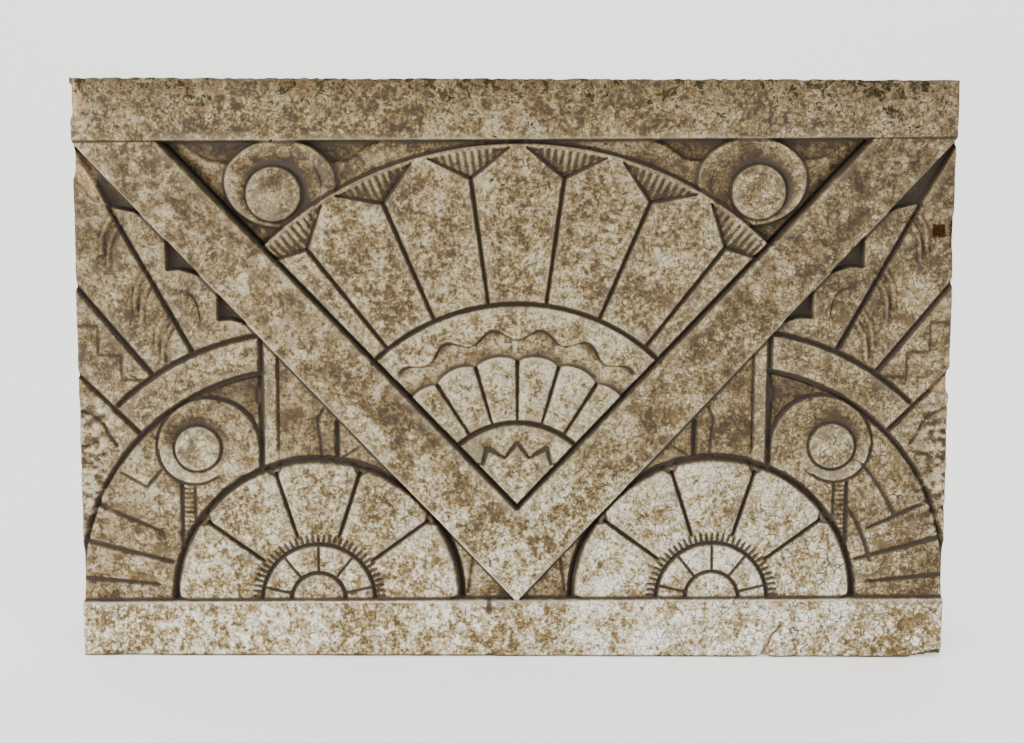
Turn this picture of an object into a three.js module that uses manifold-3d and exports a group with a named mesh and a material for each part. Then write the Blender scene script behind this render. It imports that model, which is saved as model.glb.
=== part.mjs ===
// Glazed terracotta frieze panel: one pressed and fired block with a carved face and an open-celled back.
// Millimetres, +Z up, the face looks along -Y, the origin is the middle of the underside.
import * as THREE from "three";
import { mergeVertices } from "three/addons/utils/BufferGeometryUtils.js";
import Module from "manifold-3d";

const wasm = await Module();
wasm.setup();

// The block
const WIDTH = 610;
const HEIGHT = 406;
const DEPTH = 102;
const RAIL_FOOT = 41;
const RAIL_HEAD = 364;

// The open back: three cells between two upright webs
const WALL = 28;
const WEB = 25;
const FACE_SHELL = 34;
const CELL_COUNT = 3;
const CELL_ROUND = 12;

// How far each part of the carving lies behind the rails
const SUNK_FAN = 2.2;
const SUNK_RIBS = 4.6;
const SUNK_SIDE = 3.4;
const SUNK_QUARTER = 5.4;
const SUNK_RING = 3;
const SUNK_LOBE = 7;
const SUNK_POCKET = 11.5;
const SUNK_FOOT = 7;
const GROOVE_DEPTH = 4.6;
const LINE_DEPTH = 2;
const GROOVE = 4.4;
const LINE = 2.2;

// The hand-pressed carving lies a little to one side of the block's middle, and rises to one end
const LEAN_X = 2.6;
const LEAN_Z = 0.007;

// The V band
const V_TIP = 3;
const V_APEX = 107;
const V_OUTER = 304;
const V_INNER = 244.75;

// The fan that stands in the V: every arc is centred on the V's inner corner
const FAN_R = 255;
const FAN_TIP_R = 252;
const FAN_VALLEY_R = 233;
const FAN_DIVIDERS = [8, 23.4, 38.5];
const FAN_TIPS = [0, 15.6, 31];
const TIP_HALF = 1.4;
const FAN_END = 44.4;
const RIB_PITCH = 5.3;
const RIB_GAP = 2.2;
const BAND_R = 144;
const WAVE_R = 122.6;
const WAVE_RISE = 3.8;
const WAVE_PITCH = 15.6;
const WAVE_END = 40;
const SCALLOP_R = 108;
const CUSP_R = 102;
const PETAL_PITCH = 16.3;
const SCALLOP_END = 44;
const SHADOW_R = 113;
const HEART_R = 60.5;
const ZIGZAG_HALF = 24;

// Rings with a boss in the upper corners
const RING = { x: 163.3, z: 335, rx: 38.5, rz: 31 };
const UPPER_BOSS = { x: 168, z: 327.7, r: 19, top: 0.4 };
const MOAT = 4;

// Fields at the sides
const ARCH = { x: 151, z: 50, inner: 155.5, outer: 182 };
const DISC = { x: 215.3, z: 150, r: 35.5 };
const LOWER_BOSS = { x: 223, z: 150, r: 16, top: 1 };
const COLLAR = 21;
const STEM = { inner: 225, outer: 234.4, top: 128, foot: 76 };
const STEM_PITCH = 3.7;
const POST_X = 178;

// Half-rounds at the foot
const HALF = { x: 139.3, z: 41.5, r: 100, hub: 39.5, eye: 19 };
const HALF_STEP = 36;
const SPOKE_STEP = 38.5;
const TICK_COUNT = 33;
const TICK_LENGTH = 8.5;

const FRONT = -DEPTH / 2;
const OVER = 6;
const RAD = Math.PI / 180;
const SIDES = [-1, 1];

// Drawing in the plane of the face

const at = (x, z) => new THREE.Vector2(x, z);

function laid(p) {
  const share = Math.max(0, 1 - Math.abs(p.x) / (WIDTH / 2));
  return at(p.x + LEAN_X * share, p.y + LEAN_Z * p.x);
}

// A point at a radius and an angle from the upright, on the side asked for
function polar(centre, r, degrees, side = 1) {
  const a = degrees * RAD;
  return at(side * (centre.x + r * Math.sin(a)), centre.z + r * Math.cos(a));
}

function arc(centre, r, from, to, count, side = 1) {
  const points = [];
  for (let i = 0; i <= count; i += 1) {
    points.push(polar(centre, r, from + ((to - from) * i) / count, side));
  }
  return points;
}

function oval(centre, rx, rz, count, side = 1) {
  const points = [];
  for (let i = 0; i < count; i += 1) {
    const a = (2 * Math.PI * i) / count;
    points.push(at(side * (centre.x + rx * Math.cos(a)), centre.z + rz * Math.sin(a)));
  }
  return points;
}

function sector(centre, r0, r1, from, to, count, side = 1) {
  return [...arc(centre, r0, from, to, count, side), ...arc(centre, r1, to, from, count, side)];
}

// The outline of a line of a given width, mitred at its bends
function stroke(points, width) {
  const left = [];
  const right = [];
  points.forEach((p, i) => {
    const before = points[Math.max(0, i - 1)];
    const after = points[Math.min(points.length - 1, i + 1)];
    const inDir = p.clone().sub(before).normalize();
    const outDir = after.clone().sub(p).normalize();
    const dir = inDir.clone().add(outDir).normalize();
    const normal = at(-dir.y, dir.x);
    const turn = i > 0 && i < points.length - 1 ? Math.max(0.5, dir.dot(outDir)) : 1;
    normal.multiplyScalar(width / 2 / turn);
    left.push(p.clone().add(normal));
    right.unshift(p.clone().sub(normal));
  });
  return [...left, ...right];
}

function curve(points, count) {
  return new THREE.SplineCurve(points).getPoints(count);
}

const flip = (points, side) => points.map((p) => at(side * p.x, p.y));

// Solids

function solid(geometry) {
  geometry.deleteAttribute("normal");
  geometry.deleteAttribute("uv");
  const merged = mergeVertices(geometry, 1e-4);
  const vertProperties = new Float32Array(merged.attributes.position.array);
  const triVerts = new Uint32Array(merged.index.array);
  return new wasm.Manifold(new wasm.Mesh({ numProp: 3, vertProperties, triVerts }));
}

// A prism on an outline of the face, from one depth behind the rails to another
function prism(points, from, to, lean = true) {
  const outline = lean ? points.map(laid) : points;
  const options = { depth: to - from, bevelEnabled: false };
  const geometry = new THREE.ExtrudeGeometry(new THREE.Shape(outline), options);
  geometry.rotateX(Math.PI / 2);
  geometry.translate(0, FRONT + to, 0);
  return solid(geometry);
}

const sink = (points, depth) => prism(points, -OVER, depth);

function joined(solids) {
  return solids.reduce((sum, next) => sum.add(next));
}

// A low dome that stands on the carving
function dome(boss, side) {
  const foot = SUNK_POCKET;
  const rise = 3.2;
  const profile = [new THREE.Vector2(0, -foot), new THREE.Vector2(boss.r, -foot)];
  const steps = 3;
  for (let i = 0; i <= steps; i += 1) {
    const a = (i / steps) * 0.5 * Math.PI;
    profile.push(new THREE.Vector2(boss.r * Math.cos(a), -boss.top - rise + rise * Math.sin(a)));
  }
  profile[profile.length - 1].x = 0;
  const geometry = new THREE.LatheGeometry(profile, 20);
  geometry.rotateX(Math.PI);
  const centre = laid(at(side * boss.x, boss.z));
  geometry.translate(centre.x, FRONT, centre.y);
  return solid(geometry);
}

// A break in an edge, where the clay shows
function chip(x, y, z, rx, ry, rz, turn) {
  const geometry = new THREE.IcosahedronGeometry(1, 1);
  geometry.scale(rx, ry, rz);
  geometry.rotateY(turn * RAD);
  geometry.translate(x, y, z);
  return solid(geometry);
}

// The block and its open back

function block() {
  const geometry = new THREE.BoxGeometry(WIDTH, DEPTH, HEIGHT);
  geometry.translate(0, 0, HEIGHT / 2);
  const cellWidth = (WIDTH - 2 * WALL - (CELL_COUNT - 1) * WEB) / CELL_COUNT;
  const cells = [];
  for (let i = 0; i < CELL_COUNT; i += 1) {
    const x0 = -WIDTH / 2 + WALL + i * (cellWidth + WEB);
    const corners = [
      { x: x0 + cellWidth - CELL_ROUND, z: HEIGHT - WALL - CELL_ROUND, from: 90 },
      { x: x0 + cellWidth - CELL_ROUND, z: WALL + CELL_ROUND, from: 180 },
      { x: x0 + CELL_ROUND, z: WALL + CELL_ROUND, from: 270 },
      { x: x0 + CELL_ROUND, z: HEIGHT - WALL - CELL_ROUND, from: 360 },
    ];
    const outline = corners.flatMap((c) => arc(c, CELL_ROUND, c.from - 90, c.from, 2));
    cells.push(prism(outline, FACE_SHELL, DEPTH + OVER, false));
  }
  return solid(geometry).subtract(joined(cells));
}

// The V band's edges

const vOuter = (z) => V_TIP + ((z - RAIL_FOOT - 1) * (V_OUTER - V_TIP)) / (RAIL_HEAD - RAIL_FOOT - 3);
const vSlope = V_INNER / (RAIL_HEAD - V_APEX);
const vInner = (z) => (z - V_APEX) * vSlope;
const vSpread = (GROOVE / 2) * Math.hypot(1, vSlope);
const APEX = { x: 0, z: V_APEX };

function opening() {
  const head = vInner(RAIL_HEAD) + vSpread;
  return [at(0, V_APEX - vSpread / vSlope), at(head, RAIL_HEAD), at(-head, RAIL_HEAD)];
}

function sideField(side) {
  const edge = WIDTH / 2 + OVER;
  const head = RAIL_HEAD - 2;
  const points = [at(V_TIP, RAIL_FOOT), at(edge, RAIL_FOOT), at(edge, head), at(vOuter(head), head)];
  return flip(points, side);
}

// The fan

function fanCuts() {
  const cuts = [];
  const within = prism(opening(), -OVER, SUNK_POCKET + 2);
  const inFan = (points, depth) => cuts.push(sink(points, depth).intersect(within));
  const deep = SUNK_FAN + GROOVE_DEPTH;
  for (const side of SIDES) {
    const edge = [at(0, V_APEX - 6), at(0, V_APEX), at(side * vInner(RAIL_HEAD), RAIL_HEAD)];
    inFan(stroke(edge.slice(1), GROOVE + 0.1), deep);
    inFan(stroke(edge.slice(0, 2), GROOVE), deep);
    FAN_DIVIDERS.forEach((angle, i) => {
      const line = [polar(APEX, BAND_R, angle, side), polar(APEX, FAN_VALLEY_R + 1, angle, side)];
      inFan(stroke(line, GROOVE), deep);
      const from = FAN_TIPS[i] + TIP_HALF;
      const last = i === FAN_TIPS.length - 1;
      const to = last ? FAN_END : FAN_TIPS[i + 1] - TIP_HALF;
      const far = last ? [polar(APEX, FAN_TIP_R - 5, FAN_END, side)] : [];
      const valley = polar(APEX, FAN_VALLEY_R, angle, side);
      const gap = [valley, ...far, ...arc(APEX, FAN_TIP_R, to, from, 4, side)];
      inFan(gap, SUNK_RIBS);
      const ribs = prism(gap, -OVER, SUNK_POCKET).intersect(within);
      const pitch = RIB_PITCH / FAN_TIP_R / RAD;
      const count = Math.floor((to - from) / pitch);
      for (let k = 0; k < count; k += 1) {
        const a = from + (k + 0.5) * ((to - from) / count);
        const rib = [polar(APEX, FAN_VALLEY_R - 6, a, side), polar(APEX, FAN_R, a, side)];
        cuts.push(sink(stroke(rib, RIB_GAP), SUNK_RIBS + LINE_DEPTH).intersect(ribs));
      }
    });
  }
  inFan(sector(APEX, BAND_R - GROOVE / 2, BAND_R + GROOVE / 2, -48, 48, 18), deep);
  inFan(sector(APEX, HEART_R - GROOVE / 2, HEART_R + GROOVE / 2, -48, 48, 10), deep);

  // The line that waves over the small petals
  const wave = [];
  for (let a = -WAVE_END; a <= WAVE_END; a += WAVE_PITCH / 5) {
    const swell = Math.cos((2 * Math.PI * (Math.abs(a) - WAVE_PITCH / 2)) / WAVE_PITCH);
    wave.push(polar(APEX, WAVE_R + WAVE_RISE * swell, a));
  }
  inFan(stroke(wave, LINE), SUNK_FAN + LINE_DEPTH);

  // The small petals: round tops under a sunk edge, with a groove between each two
  const tops = [];
  for (let a = -SCALLOP_END; a <= SCALLOP_END; a += PETAL_PITCH / 4) {
    const part = Math.abs(Math.sin((Math.PI * a) / PETAL_PITCH));
    tops.push(polar(APEX, CUSP_R + (SCALLOP_R - CUSP_R) * Math.sqrt(part), a));
  }
  inFan([...tops, ...arc(APEX, SHADOW_R, SCALLOP_END, -SCALLOP_END, 20)], SUNK_FAN + LINE_DEPTH + 1);
  for (let k = -2; k <= 2; k += 1) {
    const line = [polar(APEX, HEART_R, k * PETAL_PITCH), polar(APEX, CUSP_R + 2, k * PETAL_PITCH)];
    inFan(stroke(line, GROOVE - 0.6), deep - 0.6);
  }

  // The zigzag in the V's corner
  const zigzag = [at(-40, 138), at(-ZIGZAG_HALF, 138), at(-ZIGZAG_HALF + 3, 150), at(-8.5, 142.4)];
  const mirror = zigzag.map((p) => at(-p.x, p.y)).reverse();
  inFan(stroke([...zigzag, at(0, 153.6), ...mirror], LINE), SUNK_FAN + LINE_DEPTH);
  return joined(cuts);
}

// Pockets above the fan, with the rings and the low lobes left standing in them

function upperPockets() {
  const within = prism(opening(), -OVER, SUNK_POCKET + 2);
  const disc = [at(0, V_APEX - 30), ...arc(APEX, FAN_R, -80, 80, 36)];
  let pocket = sink(opening(), SUNK_POCKET).subtract(prism(disc, -2 * OVER, SUNK_POCKET + 2));
  for (const side of SIDES) {
    const ring = oval(RING, RING.rx, RING.rz, 26, side);
    pocket = pocket.subtract(prism(ring, SUNK_RING, SUNK_POCKET + 2));
    const inner = curve([at(140, 350), at(120, 350.5), at(112, 354), at(104, 360), at(94, 364)], 8);
    const innerLobe = flip([...inner, at(4, 368), at(4, 340), at(140, 300)], side);
    pocket = pocket.subtract(prism(innerLobe, SUNK_LOBE, SUNK_POCKET + 2));
    const outer = curve([at(232, 366), at(227, 360), at(215, 352), at(203, 350), at(190, 352)], 8);
    const outerLobe = flip([...outer, at(178, 300), at(252, 366)], side);
    pocket = pocket.subtract(prism(outerLobe, SUNK_LOBE, SUNK_POCKET + 2));
    const moat = { x: UPPER_BOSS.x - 1, z: UPPER_BOSS.z + 2, r: UPPER_BOSS.r + MOAT };
    pocket = pocket.add(sink(oval(moat, moat.r, moat.r, 20, side), SUNK_RING + LINE_DEPTH).intersect(within));
  }
  return pocket;
}

// Fields at the two ends

function sideCuts(side) {
  const cuts = [];
  const field = prism(sideField(side), -OVER, SUNK_POCKET + 2);
  const carve = (points, depth) => cuts.push(sink(flip(points, side), depth).intersect(field));
  const groove = (points, width = GROOVE, depth = SUNK_SIDE + GROOVE_DEPTH) => {
    carve(stroke(points, width), depth);
  };
  const line = (points) => groove(points, LINE, SUNK_SIDE + LINE_DEPTH);

  // Pockets under the V and the scalloped leaf between them
  carve([at(312, 372), at(258, 314), at(271, 318), at(281, 320)], SUNK_POCKET);
  for (const corner of [at(242, 275.7), at(207, 240.6)]) {
    const foot = curve([corner, at(corner.x - 9, corner.y + 0.8), at(corner.x - 22, corner.y - 3)], 5);
    carve([...foot, at(corner.x, corner.y + 26)], SUNK_POCKET);
  }
  line(curve([at(232, 261), at(226, 258.5), at(222, 253), at(219.5, 243)], 5));

  // Rays that run out from the arch
  groove([at(281, 319), at(225.6, 218.8)]);
  groove([at(307, 267), at(253.5, 202.5)]);
  groove([at(307, 205), at(261, 159.5)]);
  line([at(308, 237), at(290, 237), at(290, 216.5), at(274, 216), at(274, 199), at(259, 199)]);
  for (const start of [at(279, 314), at(258, 273), at(243, 245)]) {
    for (const step of [0, 1]) {
      const x = start.x - 4.4 * step;
      const z = start.y - 7 * step;
      line(curve([at(x, z), at(x + 7, z - 14), at(x + 8, z - 28)], 4));
    }
  }
  line(curve([at(306, 178), at(295, 173.4), at(288, 168), at(284, 160), at(278.5, 152)], 6));

  // The arch
  const deep = SUNK_SIDE + GROOVE_DEPTH;
  carve(sector(ARCH, ARCH.inner - GROOVE / 2, ARCH.inner + GROOVE / 2, 9.4, 92, 20), deep);
  carve(sector(ARCH, ARCH.outer - GROOVE / 2, ARCH.outer + GROOVE / 2, 7, 44, 10), deep);

  // The field under the arch, sunk round a disc that runs down to the half-round
  const half = { x: HALF.x, z: HALF.z };
  const sunk = sink(flip([at(POST_X, 42), at(330, 42), at(330, 210), at(POST_X, 210)], side), SUNK_QUARTER);
  const arch = prism(oval(ARCH, ARCH.inner, ARCH.inner, 72, side), -2 * OVER, SUNK_POCKET);
  const keptDisc = prism(oval(DISC, DISC.r, DISC.r, 26, side), -2 * OVER, SUNK_POCKET);
  const keptFoot = prism(flip([at(170, 30), at(226, 30), at(226, 150), at(170, 150)], side), -2 * OVER, SUNK_POCKET);
  const keptHalf = prism(oval(half, HALF.r, HALF.r, 56, side), -2 * OVER, SUNK_POCKET);
  cuts.push(sunk.intersect(arch).intersect(field).subtract(joined([keptDisc, keptFoot, keptHalf])));
  for (const [angle, start] of [[66, 122], [75.3, 106], [84.5, 114]]) {
    const ray = [polar(half, start, angle), polar(half, 176, angle)];
    const cut = sink(flip(stroke(ray, LINE), side), SUNK_QUARTER + LINE_DEPTH);
    cuts.push(cut.intersect(arch).intersect(field));
  }

  // The lower boss in its collar, and its ribbed stem
  const collar = oval({ x: LOWER_BOSS.x, z: LOWER_BOSS.z - 1.5 }, COLLAR, COLLAR, 20);
  carve(collar, SUNK_SIDE + LINE_DEPTH + 1);
  const cup = arc({ x: LOWER_BOSS.x + 2, z: LOWER_BOSS.z }, 25, 95, 195, 10);
  groove(cup, LINE + 1, SUNK_QUARTER + LINE_DEPTH);
  groove([at(STEM.outer, STEM.top), at(STEM.outer, STEM.foot)], LINE + 1, SUNK_QUARTER + LINE_DEPTH);
  groove([at(STEM.inner, STEM.top), at(STEM.inner, STEM.foot + 20)], LINE, SUNK_SIDE + LINE_DEPTH);
  for (let z = STEM.top - STEM_PITCH; z > STEM.foot + 16; z -= STEM_PITCH) {
    groove([at(STEM.inner, z), at(STEM.outer, z)], STEM_PITCH / 2.4, SUNK_QUARTER + 1.2);
  }

  // The post beside the V
  groove([at(POST_X, 132), at(POST_X, 236)]);
  line([at(166.5, 150), at(166.5, 213)]);
  line(curve([at(135, 178), at(139, 169), at(137.8, 160), at(136.3, 143)], 6));
  groove([at(125.5, 138), at(125.5, 168)], GROOVE - 0.6);
  line([at(122, 143), at(111, 150)]);

  // The half-round: petals round a hub, cut from the ground between it and the V
  const ground = flip([at(V_TIP, 42), at(HALF.x, 42), at(HALF.x, 60), at(66, 112)], side);
  cuts.push(sink(ground, SUNK_FOOT).intersect(field).subtract(keptHalf));
  carve(sector(half, HALF.r - 2.6, HALF.r + 2.8, -91, 91, 26), SUNK_SIDE + GROOVE_DEPTH);
  for (let k = 0; k < 4; k += 1) {
    const angle = -90 + HALF_STEP * (k + 1);
    groove([polar(half, HALF.hub + 9, angle), polar(half, HALF.r - 2, angle)], GROOVE - 0.8);
    carve([polar(half, HALF.r - 1, angle - 4), polar(half, HALF.r - 1, angle + 4), polar(half, 86, angle)], deep);
  }
  carve(sector(half, HALF.hub - 1.6, HALF.hub + 1.6, -92, 92, 18), deep - 1);
  carve(sector(half, HALF.eye - 1.1, HALF.eye + 1.1, -94, 94, 10), SUNK_SIDE + LINE_DEPTH + 0.6);
  for (let k = -2; k <= 2; k += 1) {
    const spoke = [polar(half, HALF.eye, k * SPOKE_STEP), polar(half, HALF.hub, k * SPOKE_STEP)];
    groove(spoke, LINE + 0.6, SUNK_SIDE + LINE_DEPTH + 0.8);
  }
  for (let k = 0; k < TICK_COUNT; k += 1) {
    const angle = -90 + (180 * (k + 0.5)) / TICK_COUNT;
    const tick = [polar(half, HALF.hub, angle), polar(half, HALF.hub + TICK_LENGTH, angle)];
    groove(tick, LINE - 0.4, SUNK_SIDE + LINE_DEPTH);
  }
  return joined(cuts);
}

function chips() {
  return joined([
    chip(-303, FRONT + 3, 340, 15, 9, 24, 34),
    chip(-305, FRONT + 2, 389, 6, 7, 13, 0),
    chip(303, FRONT + 2, 197, 9, 5, 8, 20),
    chip(294, FRONT + 2, 0, 15, 7, 6, 0),
    chip(181, FRONT, 5, 6, 4, 15, -20),
  ]);
}

function panel() {
  let made = block().subtract(sink(opening(), SUNK_FAN));
  made = made.subtract(upperPockets());
  made = made.subtract(fanCuts());
  for (const side of SIDES) {
    made = made.subtract(sink(sideField(side), SUNK_SIDE));
    made = made.subtract(sideCuts(side));
    made = made.add(joined([dome(UPPER_BOSS, side), dome(LOWER_BOSS, side)]));
  }
  made = made.subtract(chips());
  const mesh = made.getMesh();
  const geometry = new THREE.BufferGeometry();
  geometry.setAttribute("position", new THREE.BufferAttribute(new Float32Array(mesh.vertProperties), 3));
  geometry.setIndex(new THREE.BufferAttribute(new Uint32Array(mesh.triVerts), 1));
  geometry.computeVertexNormals();
  return geometry;
}

const group = new THREE.Group();
group.name = "terracotta_frieze_panel";
const material = new THREE.MeshStandardMaterial({ color: 0xb7a98f, roughness: 0.55 });
material.name = "glazed_terracotta";
const mesh = new THREE.Mesh(panel(), material);
mesh.name = "frieze_panel";
group.add(mesh);

export default group;
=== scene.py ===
"""Glazed terracotta frieze panel: the worn, mottled face, the bare sides and the open back of one fired block."""

import math

import bpy
import numpy as np
from bpy.props import FloatProperty, PointerProperty
from mathutils import Matrix, Vector
from mathutils.geometry import delaunay_2d_cdt


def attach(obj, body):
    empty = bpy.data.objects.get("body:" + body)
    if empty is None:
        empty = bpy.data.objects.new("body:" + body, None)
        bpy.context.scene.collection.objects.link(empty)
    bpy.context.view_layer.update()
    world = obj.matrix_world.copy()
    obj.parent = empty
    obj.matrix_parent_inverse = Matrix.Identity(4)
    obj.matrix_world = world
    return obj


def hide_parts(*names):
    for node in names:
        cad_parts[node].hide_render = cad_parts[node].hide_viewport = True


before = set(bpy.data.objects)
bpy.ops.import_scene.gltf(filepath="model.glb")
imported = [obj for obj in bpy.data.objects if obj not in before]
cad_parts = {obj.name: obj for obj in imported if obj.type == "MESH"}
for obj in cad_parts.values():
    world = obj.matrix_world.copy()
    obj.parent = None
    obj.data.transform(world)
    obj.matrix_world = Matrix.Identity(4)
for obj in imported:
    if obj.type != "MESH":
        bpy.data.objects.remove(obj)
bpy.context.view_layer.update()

bl_info = {
    "name": "Terracotta frieze panel",
    "version": (1, 0, 0),
    "blender": (4, 5, 0),
    "location": "3D View > Sidebar > Frieze",
    "description": "Builds a glazed terracotta frieze panel and a plain studio for it",
    "category": "Add Mesh",
}

# Sizes in millimetres, in the plane of the face: x from the middle, z up from the underside.

WIDTH, HEIGHT, DEPTH = 610.0, 406.0, 102.0
HALF_W = WIDTH / 2
RAIL_FOOT, RAIL_HEAD = 41.0, 364.0
WALL, WEB, FACE_SHELL, CELL_COUNT, CELL_ROUND = 28.0, 25.0, 34.0, 3, 12.0
LEAN_X, LEAN_Z = 2.6, 0.007
FAR = 99.0

V_TIP, V_APEX, V_OUTER, V_INNER = 3.0, 107.0, 304.0, 244.75
APEX = (0.0, V_APEX)
FAN_R, FAN_TIP_R, FAN_VALLEY_R = 255.0, 252.0, 233.0
FAN_DIVIDERS, FAN_TIPS, TIP_HALF, FAN_END = (8.0, 23.4, 38.5), (0.0, 15.6, 31.0), 1.4, 44.4
RIB_PITCH = 5.0
BAND_R, WAVE_R, WAVE_RISE, WAVE_PITCH, WAVE_END = 144.0, 122.6, 3.8, 15.6, 40.0
SCALLOP_R, CUSP_R, PETAL_PITCH, SCALLOP_END, HEART_R = 108.0, 102.0, 16.3, 44.0, 60.5

RING = (163.3, 335.0, 38.5, 31.0)
UPPER_BOSS = (168.0, 327.7, 19.0)
ARCH, ARCH_INNER, ARCH_OUTER = (151.0, 50.0), 155.5, 182.0
DISC = (215.3, 150.0, 35.5)
LOWER_BOSS = (223.0, 150.0, 16.0)
STEM_INNER, STEM_OUTER, STEM_TOP, STEM_FOOT, STEM_PITCH = 225.0, 234.4, 123.6, 76.0, 3.4
POST_X = 178.0
HALF, HALF_R, HUB_R, EYE_R = (139.3, 41.5), 100.0, 39.5, 19.0
HALF_STEP, SPOKE_STEP, TICK_COUNT, TICK_LENGTH = 36.0, 38.5, 35, 8.5

PATCH_AT, PATCH_HALF = (294.0, 302.5), 5.2
DRIP_X, SMALL_DRIPS = -17.0, ((-39.7, 95.0), (-16.3, 67.0))
SEED = 7


# Numbers


def smooth(low, high, value):
    t = np.clip((value - low) / (high - low), 0.0, 1.0)
    return t * t * (3.0 - 2.0 * t)


def blend(a, b, t):
    return a + (b - a) * t


def lattice(i, j, seed):
    n = (i * 374761393 + j * 668265263 + seed * 1274126177) & 0xFFFFFFFF
    n = ((n ^ (n >> 13)) * 1274126177) & 0xFFFFFFFF
    return ((n ^ (n >> 16)) & 0xFFFF) / 32767.5 - 1.0


def noise(x, z, size, seed):
    """Smooth noise from -1 to 1 with bumps of about the given size."""
    u, w = np.asarray(x) / size, np.asarray(z) / size
    i, j = np.floor(u).astype(np.int64), np.floor(w).astype(np.int64)
    fu, fw = u - i, w - j
    fu, fw = fu * fu * (3 - 2 * fu), fw * fw * (3 - 2 * fw)
    low = blend(lattice(i, j, seed), lattice(i + 1, j, seed), fu)
    high = blend(lattice(i, j + 1, seed), lattice(i + 1, j + 1, seed), fu)
    return blend(low, high, fw)


def cloud(x, z, size, seed):
    total = noise(x, z, size, seed) + 0.5 * noise(x, z, size / 2.1, seed + 1)
    return (total + 0.25 * noise(x, z, size / 4.3, seed + 2)) / 1.75


# Paths on the right half of the face. The left half mirrors them.


def polar(centre, r, degrees):
    a = math.radians(degrees)
    return (centre[0] + r * math.sin(a), centre[1] + r * math.cos(a))


def arc(centre, r, start, end, step=2.0):
    count = max(3, int(abs(end - start) * math.pi / 180 * r / step) + 1)
    return [polar(centre, r, start + (end - start) * i / count) for i in range(count + 1)]


def oval(x, z, rx, rz, count=72):
    turn = [2 * math.pi * i / count for i in range(count + 1)]
    return [(x + rx * math.cos(t), z + rz * math.sin(t)) for t in turn]


def curve(points, count=14):
    """A smooth path through the points."""
    p = [np.array(q, float) for q in points]
    p = [2 * p[0] - p[1], *p, 2 * p[-1] - p[-2]]
    made = []
    for k in range(1, len(p) - 2):
        for t in np.linspace(0, 1, count // (len(p) - 3) + 2)[:-1]:
            a, b, c, d = p[k - 1], p[k], p[k + 1], p[k + 2]
            made.append(0.5 * (2 * b + (c - a) * t + (2 * a - 5 * b + 4 * c - d) * t**2 + (3 * b - a - 3 * c + d) * t**3))
    return [tuple(q) for q in made] + [tuple(p[-2])]


def away(path, a, w, reach=12.0, along=False):
    """The distance of every point from a path, or FAR beyond its reach, and how far along it that is."""
    path = np.asarray(path, float)
    low, high = path.min(0) - reach, path.max(0) + reach
    near = np.nonzero((a > low[0]) & (a < high[0]) & (w > low[1]) & (w < high[1]))[0]
    best, share = np.full(near.shape, FAR), np.zeros(near.shape)
    pa, pw = a[near], w[near]
    for k, ((x0, z0), (x1, z1)) in enumerate(zip(path[:-1], path[1:])):
        dx, dz = x1 - x0, z1 - z0
        t = np.clip(((pa - x0) * dx + (pw - z0) * dz) / max(dx * dx + dz * dz, 1e-9), 0, 1)
        d = np.hypot(pa - x0 - t * dx, pw - z0 - t * dz)
        if along:
            share = np.where(d < best, (k + t) / (len(path) - 1), share)
        np.minimum(best, d, out=best)
    made, place = np.full(a.shape, FAR), np.zeros(a.shape)
    made[near], place[near] = best, share
    return (made, place) if along else made


def signed(outline, a, w, reach=12.0):
    """The distance of every point from a closed outline, negative inside it."""
    ring = [*outline, outline[0]]
    distance = away(ring, a, w, reach)
    inside = np.zeros(a.shape, bool)
    for (x0, z0), (x1, z1) in zip(ring[:-1], ring[1:]):
        if z0 != z1:
            crosses = (w < z0) != (w < z1)
            inside ^= crosses & (a < x0 + (w - z0) * (x1 - x0) / (z1 - z0))
    return np.where(inside, -distance, distance)


def spaced(path, step):
    path = np.asarray(path, float)
    lengths = np.hypot(*np.diff(path, axis=0).T)
    along = np.concatenate([[0], np.cumsum(lengths)])
    count = max(2, int(along[-1] / step) + 1)
    at = np.linspace(0, along[-1], count)
    return np.stack([np.interp(at, along, path[:, 0]), np.interp(at, along, path[:, 1])], 1)


def beside(path, offsets, step):
    """Points along a path and at the given distances to its sides."""
    p = spaced(path, step)
    d = np.gradient(p, axis=0)
    normal = np.stack([-d[:, 1], d[:, 0]], 1) / np.maximum(np.hypot(*d.T), 1e-9)[:, None]
    return np.concatenate([p + normal * o for o in offsets])


# The carving


class Groove:
    """A cut line: its path, width and depth, the part of the face it keeps to, and how it narrows."""

    def __init__(self, path, width, depth, zone, dirt, taper=(1.0, 1.0), half=0):
        self.path, self.width, self.depth, self.zone = path, width, depth, zone
        self.dirt, self.taper, self.half = dirt, taper, half


V_SLOPE = V_INNER / (RAIL_HEAD - V_APEX)
V_COS, V_SIN = 1 / math.hypot(1, V_SLOPE), V_SLOPE / math.hypot(1, V_SLOPE)
OUT_RUN = (V_OUTER - V_TIP) / (RAIL_HEAD - RAIL_FOOT - 3)
OUT_COS, OUT_SIN = 1 / math.hypot(1, OUT_RUN), OUT_RUN / math.hypot(1, OUT_RUN)


def v_outer(z):
    return V_TIP + (z - RAIL_FOOT - 1) * OUT_RUN


def v_inner(z):
    return (z - V_APEX) * V_SLOPE


def fan_gaps():
    """The ribbed wedges between the fan's petal tips."""
    gaps = []
    for i, angle in enumerate(FAN_DIVIDERS):
        start = FAN_TIPS[i] + TIP_HALF
        last = i == len(FAN_TIPS) - 1
        end = FAN_END + 1.6 if last else FAN_TIPS[i + 1] - TIP_HALF
        far = [polar(APEX, FAN_TIP_R - 5, FAN_END + 1.6)] if last else []
        valley = polar(APEX, FAN_VALLEY_R, angle)
        gaps.append(([valley, *far, *arc(APEX, FAN_TIP_R, end, start, 5.0)], start, end))
    return gaps


def swell(angle):
    return np.cos(2 * np.pi * (angle - WAVE_PITCH / 2) / WAVE_PITCH)


def wave_path():
    return [polar(APEX, WAVE_R + WAVE_RISE * float(swell(a)), a) for a in np.arange(0, WAVE_END + 0.1, 1.0)]


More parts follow.
